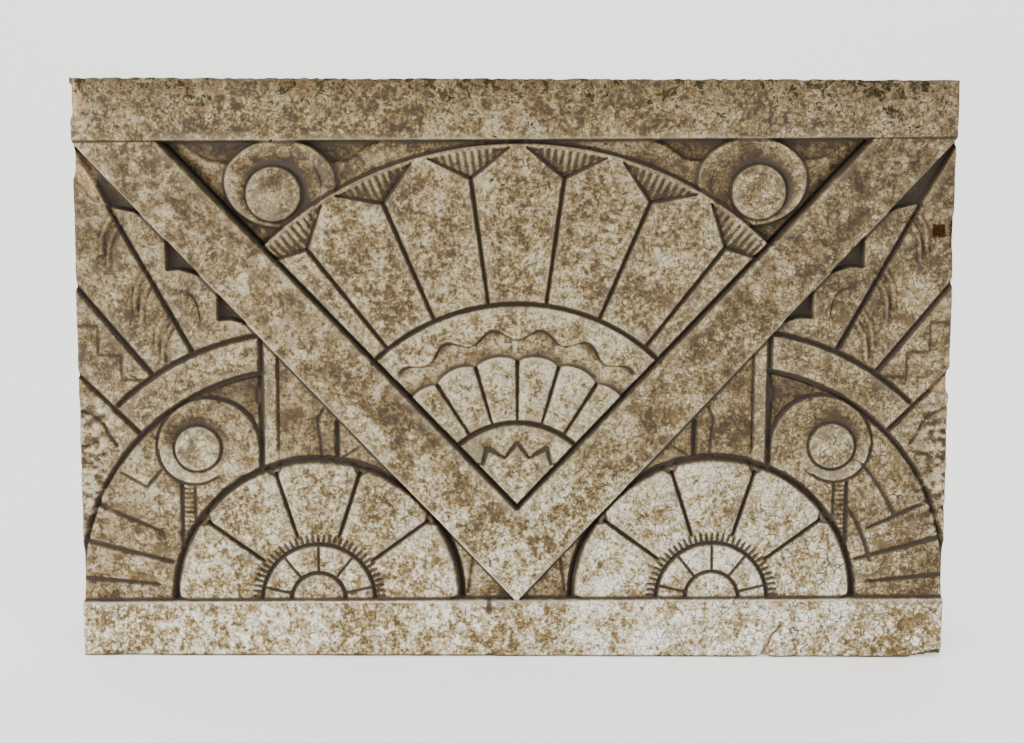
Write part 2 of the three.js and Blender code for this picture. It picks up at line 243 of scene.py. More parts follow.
def scallop_r(angle):
    return CUSP_R + (SCALLOP_R - CUSP_R) * np.sqrt(np.abs(np.sin(np.pi * angle / PETAL_PITCH)))


POCKETS = [
    [(312, 372), (258, 314), (264, 316.5), (271, 318), (281, 320)],
    [(242, 275.7), (233, 276.4), (218, 272), (242, 302)],
    [(207, 240.6), (198, 241.2), (183, 237), (207, 267)],
]
INNER_LOBE = curve([(140, 350), (120, 350.5), (112, 354), (104, 360), (94, 365)])
OUTER_LOBE = curve([(234, 367), (227, 360), (215, 352), (203, 350), (190, 352)])
STEP_LINE = [(306, 237), (290, 237), (290, 216.5), (274, 216), (274, 199), (259, 199)]
QUARTER_RAYS = ((66.0, 122.0), (75.3, 106.0), (84.5, 114.0))
RAYS = [[(281, 319), (225.6, 218.8)], [(307, 267), (253.5, 202.5)], [(307, 205), (261, 159.5)]]
CUP = (225.0, 150.0, 25.6)
FEATHERS = [curve([(x - 4.4 * k, z - 7 * k), (x - 4.4 * k + 7, z - 7 * k - 14), (x - 4.4 * k + 8, z - 7 * k - 28)])
            for x, z in ((278, 315), (256, 276), (242, 246)) for k in (0, 1)]


def grooves():
    made = []

    def fan(path, width, depth=3.6, dirt=1.0, taper=(1.0, 1.0), half=0):
        made.append(Groove(path, width, depth, "fan", dirt, taper, half))

    def side(path, width, depth=3.6, dirt=1.0, taper=(1.0, 1.0), half=0):
        made.append(Groove(path, width, depth, "side", dirt, taper, half))

    fan([APEX, (v_inner(RAIL_HEAD), RAIL_HEAD)], 3.2, 4.6, 1.0, (1.05, 0.85))
    for angle in FAN_DIVIDERS:
        fan([polar(APEX, BAND_R, angle), polar(APEX, FAN_VALLEY_R, angle)], 2.8, 3.4, 0.95, (0.85, 1.1))
    for outline, _, _ in fan_gaps():
        fan([outline[-1], outline[0]], 2.5, 1.6, 0.9, (0.6, 1.1))
        fan([outline[0], outline[1]], 2.5, 1.6, 0.9, (1.1, 0.6))
    fan(arc(APEX, BAND_R, 0, 45.5), 3.1, 3.6)
    fan(arc(APEX, HEART_R, 0, 46), 3.3, 3.6)
    fan(arc(APEX, FAN_R + 1.4, 2, 46), 2.2, 1.0, 0.85)
    fan(arc(UPPER_BOSS[:2], UPPER_BOSS[2] + 0.5, 0, 360), 1.7, 0.4, 0.7)
    fan(curve([(139, 346), (135, 336), (136.5, 324), (142, 315)]), 1.7, 0.8, 0.5, (0.6, 1.0))
    fan(curve([(148, 357), (163, 361), (178, 357)]), 1.5, 0.6, 0.4, (0.6, 0.8), 1)
    made.append(Groove([(246, RAIL_HEAD), (HALF_W + 1, RAIL_HEAD)], 1.7, 0.7, "rail", 0.85, (0.5, 1.2)))
    for k in range(3):
        foot, top = polar(APEX, HEART_R, k * PETAL_PITCH), polar(APEX, CUSP_R + 1, k * PETAL_PITCH)
        fan([foot, top], 2.7, 3.0, 0.95, (0.65, 1.05))
    fan([(0, 153.6), (8.5, 142.4)], 3.0, 1.8, 0.9, (1.2, 0.6))
    fan([(8.5, 142.4), (21, 150)], 3.0, 1.8, 0.9, (0.5, 1.4))
    fan([(21, 150), (24, 138)], 3.2, 1.8, 0.95, (1.2, 0.7))
    fan([(24, 138), (33, 138.5)], 1.8, 1.4, 0.8, (1.0, 0.6))
    for path in RAYS:
        side(path, 3.3, 3.6, 1.0, (0.85, 1.1))
    side(curve([(232, 261), (226, 258.5), (222, 253), (219.5, 243)]), 2.2, 1.3, 0.7, (1.0, 0.6))
    side(STEP_LINE, 2.0, 0.9, 0.75)
    side([(277, 133), (259, 122.5), (249, 134)], 2.8, 1.4, 0.85, (0.7, 1.0), -1)
    side([(95, 118), (85, 105)], 1.4, 0.6, 0.5, (1.0, 0.5), -1)
    side([(206, 112), (200, 97), (196, 80)], 1.2, 0.5, 0.4, (1.0, 0.5), -1)
    side([(222, 88), (222, 69), (226.5, 60.5), (235, 67.5)], 1.1, 0.5, 0.6, (1.0, 1.0), 1)
    side(arc(HALF, 142.5, 48, 65), 3.2, 1.6, 0.9, (0.7, 1.0), 1)
    side(arc(HALF, 116.0, 57, 76), 3.2, 1.6, 0.9, (0.7, 1.0), 1)
    side([(260, 126), (270, 133)], 1.4, 0.6, 0.45, (1.0, 1.0), 1)
    side([(181, 191), (181, 183)], 4.0, 2.0, 0.9)
    side([(210, 190), (207, 183)], 2.4, 1.2, 0.8)
    made.append(Groove([(189, 22), (183, 15), (180, 8), (176, 1)], 1.2, 1.2, "rail", 0.9, (0.8, 1.2), 1))
    side(curve([(306, 178), (295, 173.4), (288, 168), (284, 160), (278.5, 152)]), 2.4, 1.6, 0.85)
    side(arc(ARCH, ARCH_INNER, 9.6, 90), 3.6, 3.8)
    side(arc(ARCH, ARCH_OUTER, 9, 44), 3.4, 3.6)
    for angle, start in QUARTER_RAYS:
        side([polar(HALF, start, angle), polar(HALF, 168, angle)], 3.2, 1.8, 1.0, (0.7, 1.1))
    side(arc(CUP[:2], CUP[2], 92, 215), 2.4, 1.6, 0.95, (0.9, 0.8))
    side(arc(DISC[:2], DISC[2] + 0.9, -80, 96), 2.5, 1.2, 0.95, (1.2, 0.7))
    side(arc(LOWER_BOSS[:2], LOWER_BOSS[2] + 0.6, 0, 360), 2.2, 0.6, 0.85)
    side([(STEM_OUTER, STEM_TOP), (STEM_OUTER, STEM_FOOT)], 3.0, 2.6, 0.95)
    side([(STEM_INNER, STEM_TOP), (STEM_INNER, STEM_FOOT + 18)], 2.2, 1.8, 0.9)
    side([(POST_X, 133), (POST_X, 233)], 4.0, 3.8, 1.0, (1.05, 0.9))
    side([(166.5, 150), (166.5, 213)], 2.0, 1.3, 0.8, (0.7, 1.1))
    side(curve([(135, 178), (139, 169), (137.8, 160), (136.3, 143)]), 2.2, 1.4, 0.85)
    side([(125.5, 141), (125.5, 168)], 3.6, 3.2)
    side([(122, 143), (111, 150)], 1.8, 1.2, 0.8)
    side(arc(HALF, HALF_R + 0.6, -91, 91), 4.8, 4.8)
    for k in range(4):
        angle = -90 + HALF_STEP * (k + 1)
        side([polar(HALF, HUB_R + 8, angle), polar(HALF, HALF_R - 6, angle)], 2.8, 2.8, 0.95, (0.9, 1.0))
        for turn in (-3.4, 3.4):
            side([polar(HALF, HALF_R - 7, angle), polar(HALF, HALF_R - 0.5, angle + turn)], 2.0, 1.8, 0.8)
    side(arc(HALF, HUB_R, -91, 91), 3.0, 3.0)
    side(arc(HALF, EYE_R, -91, 91), 2.8, 2.2, 0.95)
    for k in range(-2, 3):
        side([polar(HALF, EYE_R, k * SPOKE_STEP), polar(HALF, HUB_R, k * SPOKE_STEP)], 2.1, 1.7, 0.9)
    side([(31, 69), (34.5, 45.6)], 2.2, 1.6, 0.7)
    return made


def ticks():
    for k in range(TICK_COUNT):
        angle = -90 + 180 * (k + 0.5) / TICK_COUNT
        yield [polar(HALF, HUB_R + 1, angle), polar(HALF, HUB_R + TICK_LENGTH, angle)]


CHIPS = [
    ([(-308, 360), (-300, 352), (-291, 341), (-290, 333), (-286, 321), (-290, 320), (-296, 328), (-308, 341)], 3.6, 1.0),
    ([(-308, 377), (-299, 378), (-296, 386), (-297, 394), (-300, 400), (-308, 402)], 3.0, 0.95),
    ([(290, 192), (296, 197), (303, 204), (308, 203), (308, 190), (299, 190)], 2.4, 0.9),
    ([(281, -3), (283, 2), (293, 4.5), (308, 7), (308, -3)], 3.4, 0.0),
    ([(189, 23), (186, 20), (182, 12), (181, -2), (174, -2), (178, 9), (182, 16)], 2.0, 0.9),
]


def bump(value):
    return np.exp(-value * value)


def plates(a):
    """A maker of plain surfaces over the given points: depth, dirt with painted shade, and rubbed brightness with
    painted highlight.
    """

    def plate(depth, dirt=0.0):
        return np.stack([depth + 0 * a, dirt + 0 * a, 0 * a])

    return plate


def step(sd, high, low, over=1.4, under=0.9, line=0.75, rim_rub_and_highlight=0.6, soft_shade=0.3, reach=5.0):
    """Two surfaces that meet at a step: dirt with painted shade lies along its foot and spreads onto the lower
    surface, and its brink is rubbed bright with a painted highlight.
    """
    made = blend(high, low, smooth(-over, under, sd))
    rise = smooth(0.3, 2.6, low[0] - high[0])
    foot = line * bump((sd - 0.7) / 1.1) + soft_shade * np.exp(-np.clip(sd, 0, None) / reach) * smooth(-0.4, 0.4, sd)
    made[1] = np.maximum(made[1], rise * foot)
    made[2] = np.maximum(made[2], rise * rim_rub_and_highlight * bump((sd + 0.8) / 0.6))
    return made


def with_boss(ground, boss, u, w, lit, sunk, moat_shadow, dome, grain, foot):
    """Sets a domed boss on a surface: the ground sinks round it, with painted shade round its foot and a painted
    shadow on the side away from the light.
    """
    x, z, radius = boss
    r = np.hypot(np.abs(u) - x, w - z)
    out = np.clip(r - radius, 0, None)
    shade = smooth(*lit, (0.55 * (u - np.sign(u) * x) + 0.8 * (w - z)) / np.maximum(r, 1))
    ground[0] += sunk[0] * np.exp(-out / sunk[1])
    ground[1] += (moat_shadow[0] + moat_shadow[1] * shade) * np.exp(-((out / moat_shadow[2]) ** 2))
    top = plates(r)(dome[0] + dome[1] * (r / radius) ** 2.2)
    top[2] += 0.3 * smooth(-0.2, 0.3, cloud(u, w, grain, SEED + 10))
    return step(r - radius, top, ground, 1.2, 0.8, foot[0] + foot[1] * shade, foot[2], 0.0)


class Carving:
    """The depth of the face behind its rails, and what lies on it: dirt with painted shade, and rubbed brightness with
    painted highlight, at any set of points.
    """

    def __init__(self):
        self.grooves = grooves()

    def unlaid(self, x, z):
        share = np.clip(1 - np.abs(x) / HALF_W, 0, 1)
        return x - LEAN_X * share, z - LEAN_Z * x

    def laid(self, points, half):
        x = points[:, 0] * half
        share = np.clip(1 - np.abs(x) / HALF_W, 0, 1)
        return np.stack([x + LEAN_X * share, points[:, 1] + LEAN_Z * x], 1)

    def fan(self, a, w, u):
        """The fan in the V, and the rings and pockets above it: depth, dirt with painted shade, and rubbed brightness
        with painted highlight.
        """
        r = np.hypot(a, w - V_APEX)
        th = np.degrees(np.arctan2(a, w - V_APEX))
        into_v = (w - V_APEX) * V_SIN - a * V_COS

        plate = plates(a)
        bulge = np.sin(np.pi * th / PETAL_PITCH) ** 2
        petals = plate(2.2)
        scallop = r - scallop_r(th)
        # Painted shade lies on the band just above the scallop tops, where the band also sinks.
        cloudy = np.exp(-np.clip(scallop, 0, None) / 5.0)
        band = plate(3.8 + 0.9 * cloudy, 0.08 + 0.78 * cloudy)
        scallops = plate(2.9 - 1.0 * bulge * smooth(HEART_R, HEART_R + 20, r))
        on = smooth(SCALLOP_END + 3, SCALLOP_END, th)
        band = step(scallop, scallops, band, 1.4, 0.8, 1.1 * on, 0.95, 0.25 * on, 4.0)
        wave = WAVE_R + WAVE_RISE * swell(th) - r
        weight = (0.6 + 0.4 * smooth(-0.6, 0.5, swell(th - 1.4))) * smooth(WAVE_END + 4, WAVE_END - 1, th)
        band = step(wave, plate(2.5), band, 0.9, 0.9, 0.0, 0.35, 0.0)
        band[0] += 1.8 * weight * bump((wave - 0.4) / 1.2)
        band[1] = np.maximum(band[1], 1.2 * weight * bump((wave - 0.3) / (0.45 + 1.0 * weight**2)))
        fan = blend(petals, band, smooth(BAND_R + 1, BAND_R - 1, r))
        fan = blend(fan, plate(2.6), smooth(HEART_R + 1, HEART_R - 1, r))
        for outline, start, end in fan_gaps():
            sd = signed(outline, a, w)
            count = round((end - start) / math.degrees(RIB_PITCH / FAN_TIP_R))
            phase = np.abs(np.sin(np.pi * (th - start) / (end - start) * count))
            lift = away([outline[-1], outline[0], outline[1]], a, w, 30)
            ridge = phase**0.7 * smooth(0.5, 6, lift)
            # Painted shade darkens the rib valleys and each wedge's low sides; the rib crests get a painted highlight.
            soil_and_shade = 0.36 * smooth(12, 1, lift) + 0.75 * (1 - phase) ** 1.3
            ribs = plate(6.0 - 2.2 * smooth(0, 14, lift) - 2.0 * ridge, soil_and_shade)
            ribs[2] = 0.75 * phase**3 * smooth(4, 12, lift)
            fan = step(-sd, fan, ribs, 1.0, 0.8, 0.5, 0.8, 0.0)

        # The deep pockets carry dirt with painted shade; the outer lobe gets more painted shade towards the V's wall.
        pocket = plate(10.2 + 0.8 * cloud(u, w, 14, SEED + 3), 0.58 + 0.2 * cloud(u, w, 9, SEED + 4))
        over_inner = signed([*INNER_LOBE, (4, 372), (4, 330), (140, 290)], a, w, 40)
        lobe = plate(7.8 - 0.14 * np.clip(r - FAN_R, 0, 20), 0.34)
        pocket = step(over_inner, lobe, pocket, 2.2, 1.2, 0.6, 0.4, 0.3)
        over_outer = signed([*OUTER_LOBE, (170, 290), (256, 372)], a, w, 60)
        lobe = plate(6.2 + 4.4 * smooth(20, 2, into_v), 0.22 + 0.4 * smooth(14, 2, into_v))
        pocket = step(over_outer, lobe, pocket, 2.2, 1.2, 0.65, 0.5, 0.3)
        rho = np.hypot((a - RING[0]) / RING[2], (w - RING[1]) / RING[3])
        dish = smooth(0.98, 0.5, rho)
        # The ring sinks behind the fan's edge, with painted shade there.
        behind = np.exp(-np.clip(r - FAN_R, 0, None) / 7)
        ring = plate(1.9 + 3.8 * dish + 3.4 * behind, 0.14 + 0.3 * dish + 0.3 * behind)
        pocket = step((rho - 1) * 34, ring, pocket, 1.8, 1.0, 0.7, 0.8, 0.6, 4.5)
        pocket = with_boss(pocket, UPPER_BOSS, u, w, lit=(-0.7, 0.5), sunk=(2.0, 3.0), moat_shadow=(0.05, 0.9, 4.2),
                           dome=(0.6, 2.4), grain=8, foot=(0.4, 0.6, 0.5))
        fan = step(r - FAN_R, fan, pocket, 1.3, 0.8, 0.8, 0.85, 0.6, 4.5)
        inside = np.minimum(into_v + 1.0, RAIL_HEAD - w)
        return step(inside, plate(0.0), fan, 1.0, 0.8, 0.8, 0.6, 0.25, 3.0)

    def ends(self, a, w, u):
        """The fields outside the V: depth, dirt with painted shade, and rubbed brightness with painted highlight."""
        plate = plates(a)
        edge = smooth(268, 304, a)
        side = plate(3.4, 0.25 + 0.16 * edge * (0.6 + cloud(u, w, 12, SEED + 6)))
        ray = np.zeros(a.shape)
        for (x0, z0), (x1, z1) in RAYS:
            across = ((a - x0) * (z1 - z0) - (w - z0) * (x1 - x0)) / math.hypot(x1 - x0, z1 - z0)
            ray = ray + smooth(-1, 1, -across)
        side[0] += 0.6 * np.sin(ray * 2.2)
        arch = np.hypot(a - ARCH[0], w - ARCH[1])
        half = np.hypot(a - HALF[0], w - HALF[1])
        side = blend(side, plate(2.8, 0.22), smooth(ARCH_OUTER + 1, ARCH_OUTER - 1, arch) * (a > POST_X))
        stair = signed([*STEP_LINE, (253.5, 202.5), (305, 264)], a, w)
        side[0] -= 0.6 * smooth(0.6, -0.6, stair)
        # Painted shade lies in the hollows beside each feather line, and a painted highlight along its ridge.
        for path in FEATHERS:
            d = away(path, a, w, 10)
            side[0] += 0.9 * bump((d - 2.3) / 1.2) - 0.8 * bump(d / 1.3)
            side[1] += 0.32 * bump((d - 2.3) / 1.1)
            side[2] += 0.5 * bump(d / 1.1)
        # The sunk pockets carry dirt with painted shade.
        for outline in POCKETS:
            sunk = plate(11.0, 0.66 + 0.1 * cloud(u, w, 7, SEED + 7))
            side = step(-signed(outline, a, w, 16), side, sunk, 1.4, 1.0, 0.8, 0.5, 0.75, 4.0)

        up = np.degrees(np.arctan2(w - HALF[1], a - HALF[0]))
        terrace = 0.9 * (smooth(5.0, 6.0, up) - smooth(14.2, 15.2, up) + smooth(23.5, 24.5, up))
        # The quarter field's dirt gets painted shade in the sunk nook at its top.
        nook = smooth(158, 176, w) * smooth(224, 206, a)
        soil_and_shade = 0.3 + 0.14 * cloud(u, w, 22, SEED + 9) + 0.3 * nook + 0.16 * smooth(250, 300, a)
        quarter = plate(5.6 - terrace + 2.4 * nook, soil_and_shade)
        rd = np.hypot(a - DISC[0], w - DISC[1]) - DISC[2]
        rc = np.hypot(a - CUP[0], w - CUP[1]) - CUP[2]
        disc = np.where(w > DISC[1], rd, rc)
        foot = np.maximum(np.maximum(a - STEM_OUTER, w - 150), POST_X - a)
        rl = np.hypot(a - LOWER_BOSS[0], w - LOWER_BOSS[1])
        cup = smooth(-1, 2, -rc) * smooth(164, 146, w)
        raised = plate(2.6 + 1.8 * smooth(34, 17, rl), (0.32 + 0.2 * smooth(30, 18, rl)) * (1 - 0.8 * cup))
        raised[2] += 0.35 * cup
        block = plate(3.9, 0.2)
        sunk = step(foot, block, quarter, 1.2, 0.9, 0.5, 0.5)
        sunk = step(disc, raised, sunk, 1.4, 0.9, 1.3, 1.2, 0.4)
        under_arch = np.maximum(np.maximum(arch - ARCH_INNER, POST_X - a), HALF_R - half)
        side = step(-under_arch, side, sunk, 0.9, 0.8, 0.5, 0.4, 0.35)
        side = with_boss(side, LOWER_BOSS, u, w, lit=(-0.9, 0.6), sunk=(1.6, 2.4), moat_shadow=(0.1, 0.4, 3.0),
                         dome=(0.9, 2.2), grain=7, foot=(0.6, 0.4, 0.6))
        stem = smooth(STEM_INNER, STEM_INNER + 1, a) * smooth(STEM_OUTER, STEM_OUTER - 1, a)
        stem = stem * smooth(STEM_TOP, STEM_TOP - 2, w) * (half > HALF_R)
        rung = 0.5 - 0.5 * np.sin(2 * np.pi * w / STEM_PITCH)
        side[0] += stem * (0.2 + 1.3 * rung)
        side[1] += stem * 0.5 * rung

        on_post = smooth(POST_X, POST_X - 2, a) * smooth(HALF_R, HALF_R + 2, half) * smooth(110, 124, w)
        strip = smooth(166, 168, a)
        side = blend(side, plate(5.0 - 2.0 * strip, 0.4 - 0.26 * strip), on_post)
        turn = np.degrees(np.arctan2(a - HALF[0], w - HALF[1]))
        petal = np.abs(np.sin(np.pi * (turn + 90) / HALF_STEP))
        wheel = plate(3.4 - 1.2 * np.sqrt(petal) * smooth(HUB_R, HUB_R + 14, half))
        wheel[0] -= 0.6 * smooth(HUB_R, HUB_R - 2, half) + 0.3 * smooth(EYE_R, EYE_R - 2, half)
        notch = half - (HALF_R - 7 * (1 - petal) ** 7)
        wheel = step(notch, wheel, plate(6.4, 0.45), 1.4, 0.9, 0.4, 0.9, 0.2)
        ground = plate(7.4, 0.3)
        fore = smooth(HALF[0] - 4, HALF[0] - 14, a) * smooth(118, 108, w)
        side = step(half - HALF_R, wheel, blend(side, ground, fore), 0.7, 0.7, 0.8, 0.9, 0.45, 4.0)
        out_v = (a - V_TIP) * OUT_COS - (w - RAIL_FOOT - 1) * OUT_SIN
        return side, np.minimum(np.minimum(out_v, w - RAIL_FOOT), RAIL_HEAD - 1 - w)

    def cuts(self, a, w, half):
        """The deepest groove at every point, its dirt with painted shade, and how far the nearest one is."""
        into_v = (w - V_APEX) * V_SIN - a * V_COS
        out_v = (a - V_TIP) * OUT_COS - (w - RAIL_FOOT - 1) * OUT_SIN
        held = smooth(RAIL_HEAD + 0.6, RAIL_HEAD - 0.8, w)
        zones = {"rail": np.ones(a.shape), "fan": smooth(-3.6, -1.6, into_v) * held,
                 "side": smooth(-0.6, 0.9, out_v) * smooth(RAIL_FOOT - 0.8, RAIL_FOOT + 0.8, w) * held}
        deep, dirt, near = np.zeros(a.shape), np.zeros(a.shape), np.full(a.shape, FAR)
        for g in self.grooves:
            d, t = away(g.path, a, w, 10.0, True)
            if g.half:
                d = np.where(half == g.half, d, FAR)
            width = g.width * blend(g.taper[0], g.taper[1], t)
            zone = zones[g.zone]
            np.maximum(deep, zone * g.depth * smooth(0.66 * width, 0.1 * width, d), out=deep)
            np.maximum(dirt, zone * g.dirt * smooth(0.85 * width, 0.25 * width, d), out=dirt)
            if g.width > 2.4:
                np.minimum(near, blend(FAR, d, zone), out=near)
        r = np.hypot(a - HALF[0], w - HALF[1])
        turn = np.degrees(np.arctan2(a - HALF[0], w - HALF[1]))
        reach = np.clip((r - HUB_R) / TICK_LENGTH, 0, 1.2)
        comb = 0.5 - 0.5 * np.cos(2 * np.pi * (turn + 90) / 180 * TICK_COUNT)
        comb = smooth(0.02 + 0.36 * reach, 0.5 + 0.36 * reach, comb) * smooth(1.1, 0.8, reach)
        comb = comb * (r > HUB_R) * (w > RAIL_FOOT) * zones["side"]
        np.maximum(deep, 1.9 * comb, out=deep)
        np.maximum(dirt, 0.95 * comb, out=dirt)
        return deep, dirt, near

    def at(self, x, z):
        """Depth, dirt with painted shade, rubbed brightness with painted highlight, and bare clay at points of the
        face.
        """
        u, w = self.unlaid(x, z)
        a, half = np.abs(u), np.where(u < 0, -1, 1)
        deep, dirt, near = self.cuts(a, w, half)
        side, inside = self.ends(a, w, u)
        # The V's outer step gets painted shade along its foot and a painted highlight on its brink, brighter on the
        # left, where the light comes from.
        made = step(inside, self.fan(a, w, u), side, 1.3, 0.8, 0.85, np.where(u < 0, 0.95, 0.6), 0.4, 4.0)
        depth = made[0] + deep
        dirt = np.maximum(made[1], dirt)
        # A faint painted highlight runs beside the wider grooves.
        rim_rub_and_highlight = np.maximum(made[2], 0.3 * bump((near - 2.6) / 0.8)) * (1 - smooth(0.1, 0.4, dirt))
        depth = depth + 0.7 * np.exp(-near / 4.0) + 0.45 * cloud(x, z, 46, SEED) + 0.16 * cloud(x, z, 9, SEED + 5)
        arm = smooth(0.5, -2, (w - V_APEX) * V_SIN - a * V_COS) * smooth(0.5, -2, inside)
        arm = arm * smooth(90, 170, w) * smooth(363, 352, w)
        dirt = np.maximum(dirt, arm * (0.26 + 0.55 * cloud(x, z, 7, SEED + 16)))
        # The pitted strips near the ends: dirt with painted shade in the pits, and a painted highlight on their rims.
        ends = smooth(272, 296, np.abs(x)) * smooth(70, 110, z) * smooth(200, 168, z)
        pits = cloud(0.7 * x, 1.2 * z, 3.6, SEED + 8) + 0.3 * cloud(x, z, 9, SEED + 13)
        depth = depth + ends * (2.8 * pits + 0.8)
        dirt = np.maximum(dirt * (1 - 0.6 * ends * smooth(0.0, -0.25, pits)), 0.78 * ends * smooth(0.02, 0.3, pits))
        rim_rub_and_highlight = np.maximum(rim_rub_and_highlight, 0.7 * ends * smooth(-0.04, -0.28, pits))
        # Painted shade along the bottom arris, where the block stands on the floor.
        dirt = np.maximum(dirt, 0.85 * smooth(2.6, 0.6, z))
        clay = np.zeros(x.shape)
        for outline, cut, fresh in CHIPS:
            sd = signed(outline, x, z, 14) + 1.2 * cloud(x, z, 5, SEED + 11)
            inside = smooth(0.8, -1.4, sd)
            depth = depth + inside * cut * (1 + 1.1 * cloud(x, z, 4, SEED + 12))
            np.maximum(clay, fresh * smooth(0.2, -0.8, sd), out=clay)
            dirt = np.maximum(dirt, (1 - fresh) * 0.75 * inside)
        edge = np.minimum(np.minimum(HALF_W - np.abs(x), z), HEIGHT - z)
        rough = 2.6 * smooth(HEIGHT - 9, HEIGHT, z) * np.abs(cloud(x, z, 8, SEED + 15))
        worn = np.maximum(1.5 + 1.1 * cloud(x, z, 17, SEED + 14) + rough, 0.5)
        lost = np.clip(1 - edge / worn, 0, 1)
        depth = depth + worn * (1 - np.sqrt(np.clip(1 - lost**2, 0, 1)))
        return depth, dirt, rim_rub_and_highlight, clay


# The mesh of the block


def grid(low, high, gap):
    rows = np.meshgrid(np.arange(low[0], high[0], gap), np.arange(low[1], high[1], gap))
    return np.stack(rows, -1).reshape(-1, 2)


def strip(loop, here):
    """The triangles between two closed rows of points."""
    after, beyond = np.roll(loop, -1), np.roll(here, -1)
    return [np.stack([loop, here, beyond], 1), np.stack([loop, beyond, after], 1)]


def thin(points, cell):
    """Drops points that share a cell with one before them."""
    key = np.floor(points / cell).astype(np.int64)
    _, first = np.unique(key[:, 0] * 100003 + key[:, 1], return_index=True)
    return points[np.sort(first)]


def face_points(carving, step):
    """Points that follow every groove and edge of the carving, with a loose fill between them."""
    sets = []

    def put(path, offsets, half=0, spread=1.3):
        points = beside(path, offsets, spread)
        for side in (half,) if half else (-1, 1):
            sets.append(carving.laid(points, side))

    brink = (0, -1.5, -0.8, 0.8, 1.5, -2.4, 2.6)
    for g in carving.grooves:
        put(g.path, (0, 0.35 * g.width, -0.35 * g.width, 0.75 * g.width, -0.75 * g.width), g.half)
    put([(V_TIP, RAIL_FOOT + 1), (v_outer(RAIL_HEAD), RAIL_HEAD)], (0, -1.4, -0.7, 0.8, -2.3, 1.8, 4.0))
    for z in (RAIL_FOOT, RAIL_HEAD):
        put([(0, z), (HALF_W, z)], brink)
    put(arc(APEX, FAN_R, 0, 46), brink)
    put(oval(*RING), brink)
    for x, z, r in (UPPER_BOSS, LOWER_BOSS, DISC):
        put(oval(x, z, r, r), brink)
    put(arc(CUP[:2], CUP[2], 90, 215), brink)
    put(wave_path(), (0, -0.6, 0.7, -1.3, 1.4, 2.2), 0, 1.0)
    put(INNER_LOBE, brink)
    put(OUTER_LOBE, brink)
    for path in FEATHERS:
        put(path, (0, -1.2, 1.2, -2.3, 2.3, -3.4, 3.4))
    for outline in POCKETS:
        put([*outline, outline[0]], (0, -1.2, 1.2))
    angles = np.arange(0, SCALLOP_END + 1, 0.6)
    put([polar(APEX, float(scallop_r(t)), t) for t in angles], (0, -0.8, 0.7, 2.4))
    for outline, start, end in fan_gaps():
        count = round((end - start) / math.degrees(RIB_PITCH / FAN_TIP_R))
        for k in range(2 * count + 1):
            angle = start + (end - start) * k / (2 * count)
            spine = spaced([polar(APEX, FAN_VALLEY_R - 8, angle), polar(APEX, FAN_R, angle)], 1.8)
            spine = spine[signed(outline, spine[:, 0], spine[:, 1]) < -0.3]
            for side in (-1, 1):
                sets.append(carving.laid(spine, side))
    for path in ticks():
        put(path, (0, 1.0, -1.0), 0, 1.6)
        shift = 90 / TICK_COUNT
        angle = math.degrees(math.atan2(path[0][0] - HALF[0], path[0][1] - HALF[1])) + shift
        put([polar(HALF, r, angle) for r in (42, 49)], (0,), 0, 1.8)
    for z in np.arange(STEM_FOOT + 14, STEM_TOP, STEM_PITCH / 4):
        put([(STEM_INNER + 1, z), (STEM_OUTER - 1, z)], (0,), 0, 1.6)
    for outline, _, _ in CHIPS:
        low, high = np.min(outline, 0), np.max(outline, 0)
        spots = grid(low, high, 1.1)
        sets.append(spots[signed(outline, spots[:, 0], spots[:, 1]) < 1.5])
    patches = [((x0, 84), (x0 + 27, 192), 1.5) for x0 in (-303.5, 276.5)]
    patches += [((-20, 28), (-14, 43), 0.8), ((-41.5, 91.5), (-38, 98.5), 0.7), ((-18, 63.5), (-14.6, 70.5), 0.7)]
    patches += [((287, 296), (301, 309), 1.0), ((-302, 390), (302, 404), 2.0)]
    for (x0, z0), (x1, z1), gap in patches:
        sets.append(grid((x0, z0), (x1, z1), gap))
    points = np.concatenate(sets)
    inset = 0.35
    points = points[(np.abs(points[:, 0]) < HALF_W - inset) & (points[:, 1] > inset) & (points[:, 1] < HEIGHT - inset)]
    points = thin(points, 0.62)

    border = outline_points(2.0)
    rows = [points]
    for o in (0.9, 2.0, 3.4, 5.2):
        share = np.array([(HALF_W - o) / HALF_W, (HEIGHT - 2 * o) / HEIGHT])
        rows.append(border * share + np.array([0, o]))
    points = thin(np.concatenate(rows), 0.62)

    # A loose fill wherever no line runs close by
    size = 2.4
    shape = (int(WIDTH / size) + 4, int(HEIGHT / size) + 4)
    taken = np.zeros(shape, bool)
    key = np.floor((points + [HALF_W, 0]) / size).astype(int) + 1
    taken[key[:, 0], key[:, 1]] = True
    near = taken.copy()
    for i in (-1, 0, 1):
        for j in (-1, 0, 1):
            near |= np.roll(np.roll(taken, i, 0), j, 1)
    gx, gz = np.meshgrid(np.arange(-HALF_W + step, HALF_W - 2, step), np.arange(step, HEIGHT - 2, step * 0.87))
    gx = gx + np.where(np.arange(gz.shape[0]) % 2, 0.5 * step, 0)[:, None]
    fill = np.stack([gx.ravel(), gz.ravel()], 1)
    fill = fill + 0.22 * step * np.stack([noise(fill[:, 0], fill[:, 1], 1.7, 91), noise(fill[:, 0], fill[:, 1], 1.7, 92)], 1)
    fill = fill[(np.abs(fill[:, 0]) < HALF_W - 2) & (fill[:, 1] > 2) & (fill[:, 1] < HEIGHT - 2)]
    key = np.floor((fill + [HALF_W, 0]) / size).astype(int) + 1
    fill = fill[~near[key[:, 0], key[:, 1]]]
    return border, np.concatenate([points, fill])


